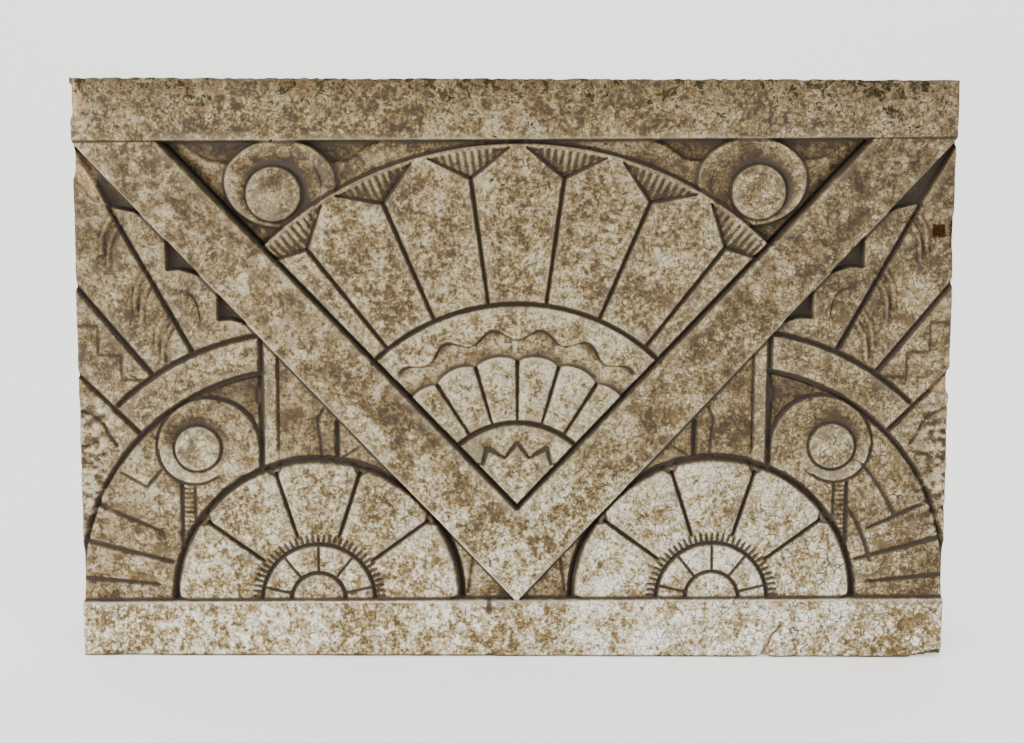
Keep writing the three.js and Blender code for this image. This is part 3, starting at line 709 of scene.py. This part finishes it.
def outline_points(step):
    """The block's outline, anticlockwise as the face is seen."""
    nx, nz = int(WIDTH / step), int(HEIGHT / step)
    x, z = np.linspace(-HALF_W, HALF_W, nx + 1), np.linspace(0, HEIGHT, nz + 1)
    foot = np.stack([x[:-1], np.zeros(nx)], 1)
    right = np.stack([np.full(nz, HALF_W), z[:-1]], 1)
    head = np.stack([x[:0:-1], np.full(nx, HEIGHT)], 1)
    left = np.stack([np.full(nz, -HALF_W), z[:0:-1]], 1)
    return np.concatenate([foot, right, head, left])


def triangles(points, edges=()):
    found = delaunay_2d_cdt([Vector(p) for p in points.tolist()], list(edges), [], 0, 1e-5, False)
    if len(found[0]) != len(points):
        raise ValueError("the triangulation merged points of the outline")
    return np.array(found[2], int)


def worn_in(x, z):
    """Moves the points near the outline in, where the block's arrises are worn or broken."""
    loss_x = 0.1 + 0.25 * np.abs(cloud(z, np.sign(x) * 40, 22, SEED + 21))
    loss_x = loss_x + 0.35 * np.abs(noise(z, np.sign(x), 4, SEED + 22))
    left = 0.8 * smooth(376, 382, z) * smooth(402, 396, z) + 1.4 * smooth(338, 344, z) * smooth(360, 354, z)
    right = 1.8 * smooth(188, 192, z) * smooth(206, 202, z) + 0.9 * smooth(286, 292, z) * smooth(318, 310, z)
    loss_x = loss_x + np.where(x < 0, left, right)
    top = 0.1 + 0.7 * np.abs(cloud(x, 3.0 + 0 * x, 16, SEED + 23)) + 1.0 * np.abs(noise(x, 0 * x, 4, SEED + 24))
    foot = 0.1 + 0.4 * np.abs(cloud(x, 9.0 + 0 * x, 20, SEED + 25)) + 1.8 * smooth(280, 296, x)
    foot = foot + 1.6 * smooth(173, 176, x) * smooth(184, 180, x)
    pull = np.clip(1 - (HALF_W - np.abs(x)) / 7, 0, 1) ** 2
    x = x - np.sign(x) * pull * loss_x
    z = z - np.clip(1 - (HEIGHT - z) / 7, 0, 1) ** 2 * top + np.clip(1 - z / 7, 0, 1) ** 2 * foot
    return x, z


def blurred(image, reach):
    for axis in (0, 1):
        for _ in range(2):
            padded = np.pad(image, [(reach + 1, reach) if k == axis else (0, 0) for k in (0, 1)], mode="edge")
            total = np.cumsum(padded, axis=axis)
            span = 2 * reach + 1
            ends = [slice(None), slice(None)]
            starts = [slice(None), slice(None)]
            ends[axis], starts[axis] = slice(span, None), slice(None, -span)
            image = (total[tuple(ends)] - total[tuple(starts)]) / span
    return image


def sampled(image, x, z):
    u, w = np.clip(x + HALF_W, 0, WIDTH - 1e-3), np.clip(z, 0, HEIGHT - 1e-3)
    i, j = u.astype(int), w.astype(int)
    fu, fw = u - i, w - j
    return blend(blend(image[i, j], image[i + 1, j], fu), blend(image[i, j + 1], image[i + 1, j + 1], fu), fw)


def rounded_cell(index, step):
    width = (WIDTH - 2 * WALL - (CELL_COUNT - 1) * WEB) / CELL_COUNT
    x0 = -HALF_W + WALL + index * (width + WEB)
    x1, z0, z1, r = x0 + width, WALL, HEIGHT - WALL, CELL_ROUND
    corners = (((x0 + r, z0 + r), 180), ((x1 - r, z0 + r), 270), ((x1 - r, z1 - r), 0), ((x0 + r, z1 - r), 90))
    path = []
    for (cx, cz), start in corners:
        for t in np.linspace(start, start + 90, 7):
            path.append((cx + r * math.cos(math.radians(t)), cz + r * math.sin(math.radians(t))))
    return spaced([*path, path[0]], step)[:-1]


def stain_layers(carving, x, z):
    """Growth along the top, the square patch, the drips, and where the glaze is paler."""
    lichen = 0.3 * smooth(340, 372, z) + 0.55 * smooth(372, 404, z)
    edge_stain = np.maximum(smooth(284, 292, z) * smooth(318, 308, z), smooth(394, 402, z))
    lichen = np.maximum(lichen, smooth(297, 303, x) * edge_stain * 1.2)
    off_patch = np.maximum(np.abs(x - PATCH_AT[0]), np.abs(z - PATCH_AT[1]))
    patch = smooth(PATCH_HALF, PATCH_HALF - 1, off_patch)
    drip = smooth(2.2, 1.2, np.abs(x - DRIP_X)) * smooth(29, 31, z) * smooth(42, 40, z)
    for tx, tz in SMALL_DRIPS:
        drip = np.maximum(drip, smooth(1.0, 0.5, np.abs(x - tx)) * smooth(2.6, 1.8, np.abs(z - tz)))
    u, w = carving.unlaid(x, z)
    wheel = smooth(HALF_R + 1, HALF_R - 3, np.hypot(np.abs(u) - HALF[0], w - HALF[1])) * np.where(u > 0, 1.0, 0.35)
    fan_r = np.hypot(u, w - V_APEX)
    band = smooth(BAND_R + 1, BAND_R - 3, fan_r) * smooth(HEART_R, HEART_R + 3, fan_r) * (np.abs(u) < v_inner(w))
    pale = np.maximum(wheel, 0.8 * band)
    return {"pale": pale, "lichen": lichen, "patch": patch, "drip": drip}


def face_layers(carving, x, z):
    """The depth of the face, and what lies on it: dirt, with painted shade where a place is hollow against its
    surroundings, and rubbed brightness, with a painted highlight where it is proud of them.
    """
    depth, dirt, rim_rub_and_highlight, clay = carving.at(x, z)
    gx, gz = np.meshgrid(np.arange(-HALF_W, HALF_W + 1.5), np.arange(0, HEIGHT + 1.5), indexing="ij")
    image = carving.at(gx.ravel(), gz.ravel())[0].reshape(gx.shape)
    close, wide = sampled(blurred(image, 2), x, z), sampled(blurred(image, 6), x, z)
    # Painted shade where the face is hollow against its surroundings, painted highlight where it is proud of them.
    hollow_shade = 0.7 * smooth(0.3, 2.6, depth - close) + 0.5 * smooth(1.0, 4.5, depth - wide)
    grime_and_shade = np.clip(np.maximum(dirt, hollow_shade), 0, 1)
    proud_rub_and_highlight = np.clip(np.maximum(rim_rub_and_highlight, 0.3 * smooth(0.35, 1.8, close - depth)), 0, 1)
    return depth, {"grime_and_shade": grime_and_shade, "clay": clay, "proud_rub_and_highlight": proud_rub_and_highlight, **stain_layers(carving, x, z)}


def build_block(settings):
    carving = Carving()
    border, inner = face_points(carving, settings.fill_mm)
    flat = np.concatenate([border, inner])
    faces = triangles(flat)
    x, z = flat[:, 0], flat[:, 1]
    depth, values = face_layers(carving, x, z)
    count = len(border)
    wx, wz = worn_in(x, z)
    verts = [np.stack([wx, -DEPTH / 2 + depth, wz], 1)]
    tris = [faces]
    total = len(flat)
    loop = np.arange(count)

    # The four sides, in rows from the face to the back
    start = verts[0][:count]
    rows = (-DEPTH / 2 + 9, -DEPTH / 2 + 18, -DEPTH / 2 + 34, -DEPTH / 2 + 58, -DEPTH / 2 + 80, DEPTH / 2 - 2.2, DEPTH / 2)
    for k, y in enumerate(rows):
        row = border.copy()
        rub = 0.35 * cloud(border[:, 0] + border[:, 1], np.full(count, y), 24, SEED + 31)
        if k == len(rows) - 1:
            rub = rub + 1.4
        out = np.stack([np.where(np.abs(row[:, 0]) > HALF_W - 0.01, np.sign(row[:, 0]), 0),
                        np.where(row[:, 1] > HEIGHT - 0.01, 1, np.where(row[:, 1] < 0.01, -1, 0))], 1)
        row = row - out * np.clip(rub + 0.3, 0.05, None)[:, None]
        if k == 0:
            row = 0.5 * row + 0.5 * start[:, [0, 2]]
        verts.append(np.stack([row[:, 0], np.full(count, y), row[:, 1]], 1))
        here = total + np.arange(count)
        tris += strip(loop, here)
        loop, total = here, total + count

    # The back: a rim and webs round three open cells
    last = verts[-1][:, [0, 2]]
    cells = [rounded_cell(i, 4.0) for i in range(CELL_COUNT)]
    back_fill = grid((-297, 8), (300, 400), 9.0)
    for cell in cells:
        closed = [tuple(p) for p in cell]
        back_fill = back_fill[signed(closed, back_fill[:, 0], back_fill[:, 1], 10) > 3]
    layout = np.concatenate([last, *cells, back_fill])
    edges, at = [], count
    for cell in cells:
        n = len(cell)
        edges += [(at + i, at + (i + 1) % n) for i in range(n)]
        at += n
    edges += [(i, (i + 1) % count) for i in range(count)]
    back = triangles(layout, edges)
    middle = layout[back].mean(1)
    keep = np.ones(len(back), bool)
    for cell in cells:
        closed = [tuple(p) for p in cell]
        keep &= signed(closed, middle[:, 0], middle[:, 1], 200) > 0
    back = back[keep][:, ::-1]
    index = np.concatenate([loop, total + np.arange(len(layout) - count)])
    rough = 0.4 * cloud(layout[count:, 0], layout[count:, 1], 20, SEED + 41)
    verts.append(np.stack([layout[count:, 0], DEPTH / 2 - 0.3 + np.minimum(rough, 0.25), layout[count:, 1]], 1))
    tris.append(index[back])
    total += len(layout) - count
    at = count
    for cell in cells:
        n = len(cell)
        loop, at = index[at:at + n], at + n
        centre = cell.mean(0)
        for y, draft in ((38, 1.0), (14, 1.6), (-8, 2.2), (-DEPTH / 2 + FACE_SHELL, 5.0)):
            row = centre + (cell - centre) * (1 - draft / np.hypot(*(cell - centre).T))[:, None]
            verts.append(np.stack([row[:, 0], np.full(n, float(y)), row[:, 1]], 1))
            here = total + np.arange(n)
            tris += strip(loop, here)
            loop, total = here, total + n
        floor = grid(row.min(0) + 8, row.max(0) - 4, 10.0)
        closed = [tuple(p) for p in row]
        floor = floor[signed(closed, floor[:, 0], floor[:, 1], 10) < -4]
        layout = np.concatenate([row, floor])
        found = triangles(layout, [(i, (i + 1) % n) for i in range(n)])
        sag = 0.9 * cloud(floor[:, 0], floor[:, 1], 34, SEED + 43)
        verts.append(np.stack([floor[:, 0], -DEPTH / 2 + FACE_SHELL + sag, floor[:, 1]], 1))
        tris.append(np.concatenate([loop, total + np.arange(len(floor))])[found][:, ::-1])
        total += len(floor)

    verts, tris = np.concatenate(verts), np.concatenate(tris)
    mesh = bpy.data.meshes.new("frieze_panel_worn")
    mesh.from_pydata((verts / 1000).tolist(), [], tris.tolist())
    mesh.validate()
    rest = len(verts) - len(flat)
    layers = {name: np.concatenate([value, np.zeros(rest)]) for name, value in values.items()}
    layers["inner"] = (np.arange(len(verts)) >= len(flat) + len(rows) * count).astype(float)
    for name, value in layers.items():
        layer = mesh.attributes.new(name, "FLOAT", "POINT")
        layer.data.foreach_set("value", value.astype(np.float32))
    mesh.shade_smooth()
    mesh.set_sharp_from_angle(angle=math.radians(50))
    return mesh


# Materials


class Nodes:
    """A short way to write a node tree."""

    def __init__(self, name):
        self.material = bpy.data.materials.new(name)
        self.material.use_nodes = True
        self.tree = self.material.node_tree
        self.tree.nodes.clear()

    def add(self, kind, **inputs):
        node = self.tree.nodes.new(kind)
        for key, value in inputs.items():
            self.set(node, key.replace("_", " "), value)
        return node

    def set(self, node, key, value):
        socket = node.inputs[int(key) if key.isdigit() else key]
        if isinstance(value, bpy.types.NodeSocket):
            self.tree.links.new(value, socket)
        else:
            socket.default_value = value

    def math(self, kind, a, b=0.0, clamp=False):
        node = self.tree.nodes.new("ShaderNodeMath")
        node.operation = kind
        node.use_clamp = clamp
        self.set(node, "0", a)
        self.set(node, "1", b)
        return node.outputs[0]

    def times(self, a, b):
        return self.math("MULTIPLY", a, b)

    def plus(self, a, b, clamp=False):
        return self.math("ADD", a, b, clamp)

    def less(self, a, b):
        return self.math("SUBTRACT", a, b)

    def most(self, a, b):
        return self.math("MAXIMUM", a, b)

    def ramp(self, value, low, high):
        node = self.tree.nodes.new("ShaderNodeMapRange")
        node.interpolation_type = "SMOOTHSTEP"
        for key, v in (("Value", value), ("From Min", low), ("From Max", high)):
            self.set(node, key, v)
        return node.outputs[0]

    def mix(self, factor, a, b, kind="MIX"):
        node = self.tree.nodes.new("ShaderNodeMix")
        node.data_type = "RGBA"
        node.blend_type = kind
        for key, v in (("0", factor), ("6", a), ("7", b)):
            self.set(node, key, v)
        return node.outputs[2]

    def noise(self, place, scale, detail=3.0, rough=0.55, warp=0.0):
        node = self.add("ShaderNodeTexNoise", Vector=place, Scale=scale, Detail=detail, Roughness=rough, Distortion=warp)
        return node.outputs[0]

    def value(self, name):
        node = self.tree.nodes.new("ShaderNodeAttribute")
        node.attribute_name = name
        return node.outputs["Fac"]


def srgb(r, g, b):
    return (*(((v / 255 + 0.055) / 1.055) ** 2.4 if v > 10 else v / 3295 for v in (r, g, b)), 1.0)


def glaze_material(settings):
    n = Nodes("glazed_terracotta")
    place = n.add("ShaderNodeTexCoord").outputs["Object"]
    split = n.add("ShaderNodeSeparateXYZ", Vector=place)
    height, back = split.outputs["Z"], split.outputs["Y"]
    blot = settings.blot_mm
    wide = n.noise(place, 1000 / (blot * 7), 2.0, 0.6)
    mid = n.noise(place, 1000 / (blot * 1.15), 4.0, 0.65, 0.4)
    fine = n.noise(place, 1000 / (blot * 0.4), 3.0, 0.7)
    elsewhere = n.add("ShaderNodeMapping", Vector=place, Location=(3.1, 1.7, 5.2)).outputs[0]
    ochre = n.noise(elsewhere, 1000 / (blot * 2.6), 6.0, 0.72, 0.3)
    tone = n.plus(n.times(mid, 0.5), n.times(fine, 0.5))
    tone = n.plus(tone, n.times(n.less(wide, 0.5), 0.24))
    tone = n.less(tone, n.times(n.less(ochre, 0.5), 0.32))
    tone = n.plus(tone, n.times(n.value("pale"), 0.045))
    ramp = n.add("ShaderNodeValToRGB", Fac=n.ramp(tone, 0.387, 0.64))
    stops = ((0.0, (62, 46, 18)), (0.2, (112, 92, 48)), (0.45, (156, 139, 102)),
             (0.7, (187, 177, 152)), (1.0, (228, 226, 219)))
    for k, (at, shade) in enumerate(stops):
        stop = ramp.color_ramp.elements[k] if k < 2 else ramp.color_ramp.elements.new(at)
        stop.position, stop.color = at, srgb(*shade)
    colour = ramp.outputs[0]
    colour = n.mix(n.times(n.ramp(ochre, 0.52, 0.66), 0.5), colour, srgb(128, 103, 48))
    speck = n.noise(place, 1000 / (blot * 0.42), 2.0, 0.5)
    colour = n.mix(n.times(n.ramp(speck, 0.61, 0.69), 0.85), colour, srgb(64, 48, 20))
    # Rubbed glaze and painted highlights lighten the brinks and proud places.
    proud_rub_and_highlight = n.value("proud_rub_and_highlight")
    colour = n.mix(n.times(proud_rub_and_highlight, 0.75), colour, srgb(226, 221, 210))
    # The glaze is made darker towards the top.
    high = n.ramp(height, -0.06, 0.40)
    low = n.ramp(height, -0.05, 0.17)
    colour = n.mix(low, colour, n.mix(1.0, colour, srgb(216, 212, 195), "MULTIPLY"))
    colour = n.mix(n.times(high, 0.9), colour, n.mix(1.0, colour, srgb(199, 190, 171), "MULTIPLY"))
    drift = n.add("ShaderNodeTexNoise", Vector=place, Scale=150.0).outputs[1]
    bent = n.tree.nodes.new("ShaderNodeVectorMath")
    bent.operation = "MULTIPLY_ADD"
    n.set(bent, "0", drift)
    n.set(bent, "1", (0.0045, 0.0045, 0.0045))
    n.set(bent, "2", place)
    craze = n.add("ShaderNodeTexVoronoi", Vector=bent.outputs[0], Scale=165.0)
    craze.feature = "DISTANCE_TO_EDGE"
    lines = n.ramp(craze.outputs["Distance"], 0.075, 0.012)
    right = n.ramp(split.outputs["X"], -0.1, 0.28)
    lines = n.times(lines, n.times(n.ramp(mid, 0.42, 0.6), n.plus(n.times(right, 0.7), 0.45)))
    colour = n.mix(lines, colour, srgb(70, 56, 36))
    # Dirt and painted shade from the grime-and-shade layer darken the glaze.
    dirt = n.value("grime_and_shade")
    broken = n.times(n.less(fine, 0.5), 0.5)
    dirt = n.plus(dirt, n.times(broken, n.ramp(dirt, 0.0, 0.3)), True)
    colour = n.mix(n.ramp(dirt, 0.05, 0.6), colour, n.mix(1.0, colour, srgb(198, 186, 163), "MULTIPLY"))
    colour = n.mix(n.times(n.ramp(dirt, 0.35, 0.95), 0.95), colour, srgb(58, 51, 45))
    clay = n.value("clay")
    body = n.mix(n.ramp(fine, 0.4, 0.65), srgb(178, 153, 116), srgb(126, 100, 66))
    colour = n.mix(n.times(clay, 0.85), colour, body)
    growth = n.plus(n.times(n.value("lichen"), 0.2), n.plus(n.times(mid, 0.72), n.times(fine, 0.28)))
    growth = n.plus(growth, n.times(n.less(wide, 0.5), 0.35))
    growth = n.times(n.ramp(growth, 0.66, 0.73), n.ramp(n.value("lichen"), 0.02, 0.2))
    colour = n.mix(n.times(growth, 0.88), colour, srgb(28, 22, 11))
    colour = n.mix(n.times(n.value("patch"), 0.92), colour, srgb(36, 20, 7))
    colour = n.mix(n.times(n.value("drip"), 0.85), colour, srgb(42, 15, 11))

    # Beyond the glazed arris the sides and the back are bare, combed clay
    bare = n.ramp(n.plus(back, n.times(n.less(wide, 0.5), 0.03)), -0.022, -0.014)
    bare = n.most(bare, n.value("inner"))
    raw = n.mix(n.ramp(mid, 0.4, 0.62), srgb(188, 158, 122), srgb(164, 130, 96))
    raw = n.mix(n.times(n.ramp(wide, 0.5, 0.68), 0.5), raw, srgb(140, 118, 96))
    colour = n.mix(bare, colour, raw)
    dull = n.most(n.most(bare, clay), n.ramp(dirt, 0.1, 0.6))
    rough = n.plus(n.times(dull, 0.32), n.plus(n.times(fine, 0.2), 0.36))
    bumps = n.plus(n.times(mid, 0.6), n.plus(fine, n.times(lines, -0.6)))
    bump = n.add("ShaderNodeBump", Strength=0.35, Distance=0.0005, Height=bumps)
    shader = n.add("ShaderNodeBsdfPrincipled", Base_Color=colour, Roughness=rough, Normal=bump.outputs[0])
    matt = n.most(n.most(growth, n.value("patch")), n.times(n.ramp(dirt, 0.3, 0.9), 0.6))
    shine = n.less(1.0, matt)
    n.set(shader, "Specular IOR Level", n.times(shine, 0.4))
    out = n.add("ShaderNodeOutputMaterial")
    n.tree.links.new(shader.outputs[0], out.inputs[0])
    return n.material


def plain_material(name, colour, rough, glow=0.0):
    n = Nodes(name)
    shader = n.add("ShaderNodeBsdfPrincipled", Base_Color=colour, Roughness=rough,
                   Emission_Color=colour, Emission_Strength=glow)
    out = n.add("ShaderNodeOutputMaterial")
    n.tree.links.new(shader.outputs[0], out.inputs[0])
    return n.material


# The add-on


class FriezePanelSettings(bpy.types.PropertyGroup):
    fill_mm: FloatProperty(
        name="Fill", default=3.4, min=2.0, max=12.0,
        description="Spacing of the mesh between the lines of the carving, in millimetres")
    blot_mm: FloatProperty(
        name="Blotch", default=5.2, min=1.0, max=20.0,
        description="Size of the blotches in the glaze, in millimetres")


class FriezeStageSettings(bpy.types.PropertyGroup):
    lens: FloatProperty(
        name="Lens", default=54.9, min=20, max=200,
        description="Focal length on a 36 mm wide sensor, in millimetres")
    distance: FloatProperty(
        name="Distance", default=1.1325, unit="LENGTH",
        description="How far the camera stands in front of the panel's middle")
    eye_height: FloatProperty(
        name="Eye height", default=0.3235, unit="LENGTH",
        description="Height of the camera above the floor")
    pitch: FloatProperty(
        name="Pitch", default=math.radians(6.3), subtype="ANGLE",
        description="How far the camera looks down")
    roll: FloatProperty(
        name="Roll", default=math.radians(0.16), subtype="ANGLE",
        description="How far the camera is turned on its own axis")
    key: FloatProperty(
        name="Key", default=42.0, min=0,
        description="Power of the soft light at the left, in watts")
    fill: FloatProperty(
        name="Fill light", default=12.0, min=0,
        description="Power of the soft light at the right, in watts")
    sky: FloatProperty(
        name="Surroundings", default=1.2, min=0,
        description="Brightness of the studio around the panel")


class OBJECT_OT_frieze_panel(bpy.types.Operator):
    """Builds the worn and glazed block of the frieze panel"""

    bl_idname = "object.frieze_panel"
    bl_label = "Frieze panel"

    def execute(self, context):
        settings = context.scene.frieze_panel
        piece = bpy.data.objects.new("frieze_panel_worn", build_block(settings))
        context.collection.objects.link(piece)
        piece.data.materials.append(glaze_material(settings))
        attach(piece, "root")
        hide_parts("frieze_panel")
        return {"FINISHED"}


class OBJECT_OT_frieze_stage(bpy.types.Operator):
    """Sets out the floor, the lights and the camera"""

    bl_idname = "object.frieze_stage"
    bl_label = "Frieze stage"

    def execute(self, context):
        settings = context.scene.frieze_stage
        collection = context.collection
        profile = [(-4.0, 0.0), (1.6, 0.0)]
        profile += [(1.6 + 1.2 * math.sin(t), 1.2 - 1.2 * math.cos(t)) for t in np.linspace(0.12, math.pi / 2, 14)]
        profile.append((2.8, 4.5))
        verts = [(x, y, z) for y, z in profile for x in (-6.0, 6.0)]
        faces = [(2 * i, 2 * i + 1, 2 * i + 3, 2 * i + 2) for i in range(len(profile) - 1)]
        sweep = bpy.data.meshes.new("studio_sweep")
        sweep.from_pydata(verts, [], faces)
        sweep.shade_smooth()
        floor = bpy.data.objects.new("studio_sweep", sweep)
        floor.data.materials.append(plain_material("studio_paper", srgb(250, 250, 248), 0.9, 0.6))
        collection.objects.link(floor)

        def lamp(name, place, aim, size, power, tint=(1, 1, 1)):
            light = bpy.data.lights.new(name, "AREA")
            light.shape, light.size, light.size_y = "RECTANGLE", size[0], size[1]
            light.energy, light.color = power, tint
            made = bpy.data.objects.new(name, light)
            made.location = place
            made.rotation_euler = (Vector(aim) - Vector(place)).to_track_quat("-Z", "Y").to_euler()
            collection.objects.link(made)

        lamp("key_light", (-1.5, -1.15, 0.12), (0, 0, 0.2), (0.8, 0.5), settings.key, (1.0, 0.98, 0.95))
        lamp("fill_light", (1.3, -1.7, 0.9), (0, 0, 0.2), (1.4, 1.2), settings.fill)
        lamp("top_light", (0.0, -1.2, 2.2), (0, -0.5, 0.0), (2.0, 1.6), settings.fill * 1.6)
        world = bpy.data.worlds.new("studio")
        world.use_nodes = True
        surround = world.node_tree.nodes["Background"]
        surround.inputs["Color"].default_value = (1.0, 1.0, 1.0, 1.0)
        surround.inputs["Strength"].default_value = settings.sky
        context.scene.world = world

        lens = bpy.data.cameras.new("photo_view")
        lens.sensor_width, lens.lens = 36.0, settings.lens
        lens.dof.use_dof = False
        camera = bpy.data.objects.new("photo_view", lens)
        turn = Matrix.Rotation(math.pi / 2 - settings.pitch, 4, "X") @ Matrix.Rotation(settings.roll, 4, "Z")
        camera.matrix_world = Matrix.Translation((-0.0012, -settings.distance, settings.eye_height)) @ turn
        collection.objects.link(camera)
        context.scene.camera = camera
        return {"FINISHED"}


class VIEW3D_PT_frieze(bpy.types.Panel):
    """Buttons that build the frieze panel and its stage"""

    bl_label = "Frieze panel"
    bl_space_type = "VIEW_3D"
    bl_region_type = "UI"
    bl_category = "Frieze"

    def draw(self, context):
        scene = context.scene
        sets = (scene.frieze_panel, OBJECT_OT_frieze_panel), (scene.frieze_stage, OBJECT_OT_frieze_stage)
        for settings, operator in sets:
            for name in settings.__annotations__:
                self.layout.prop(settings, name)
            self.layout.operator(operator.bl_idname)


CLASSES = (FriezePanelSettings, FriezeStageSettings, OBJECT_OT_frieze_panel, OBJECT_OT_frieze_stage, VIEW3D_PT_frieze)


def register():
    for item in CLASSES:
        bpy.utils.register_class(item)
    bpy.types.Scene.frieze_panel = PointerProperty(type=FriezePanelSettings)
    bpy.types.Scene.frieze_stage = PointerProperty(type=FriezeStageSettings)


def unregister():
    del bpy.types.Scene.frieze_stage
    del bpy.types.Scene.frieze_panel
    for item in reversed(CLASSES):
        bpy.utils.unregister_class(item)


def main():
    register()
    bpy.ops.object.frieze_panel()
    bpy.ops.object.frieze_stage()


if __name__ == "__main__":
    main()
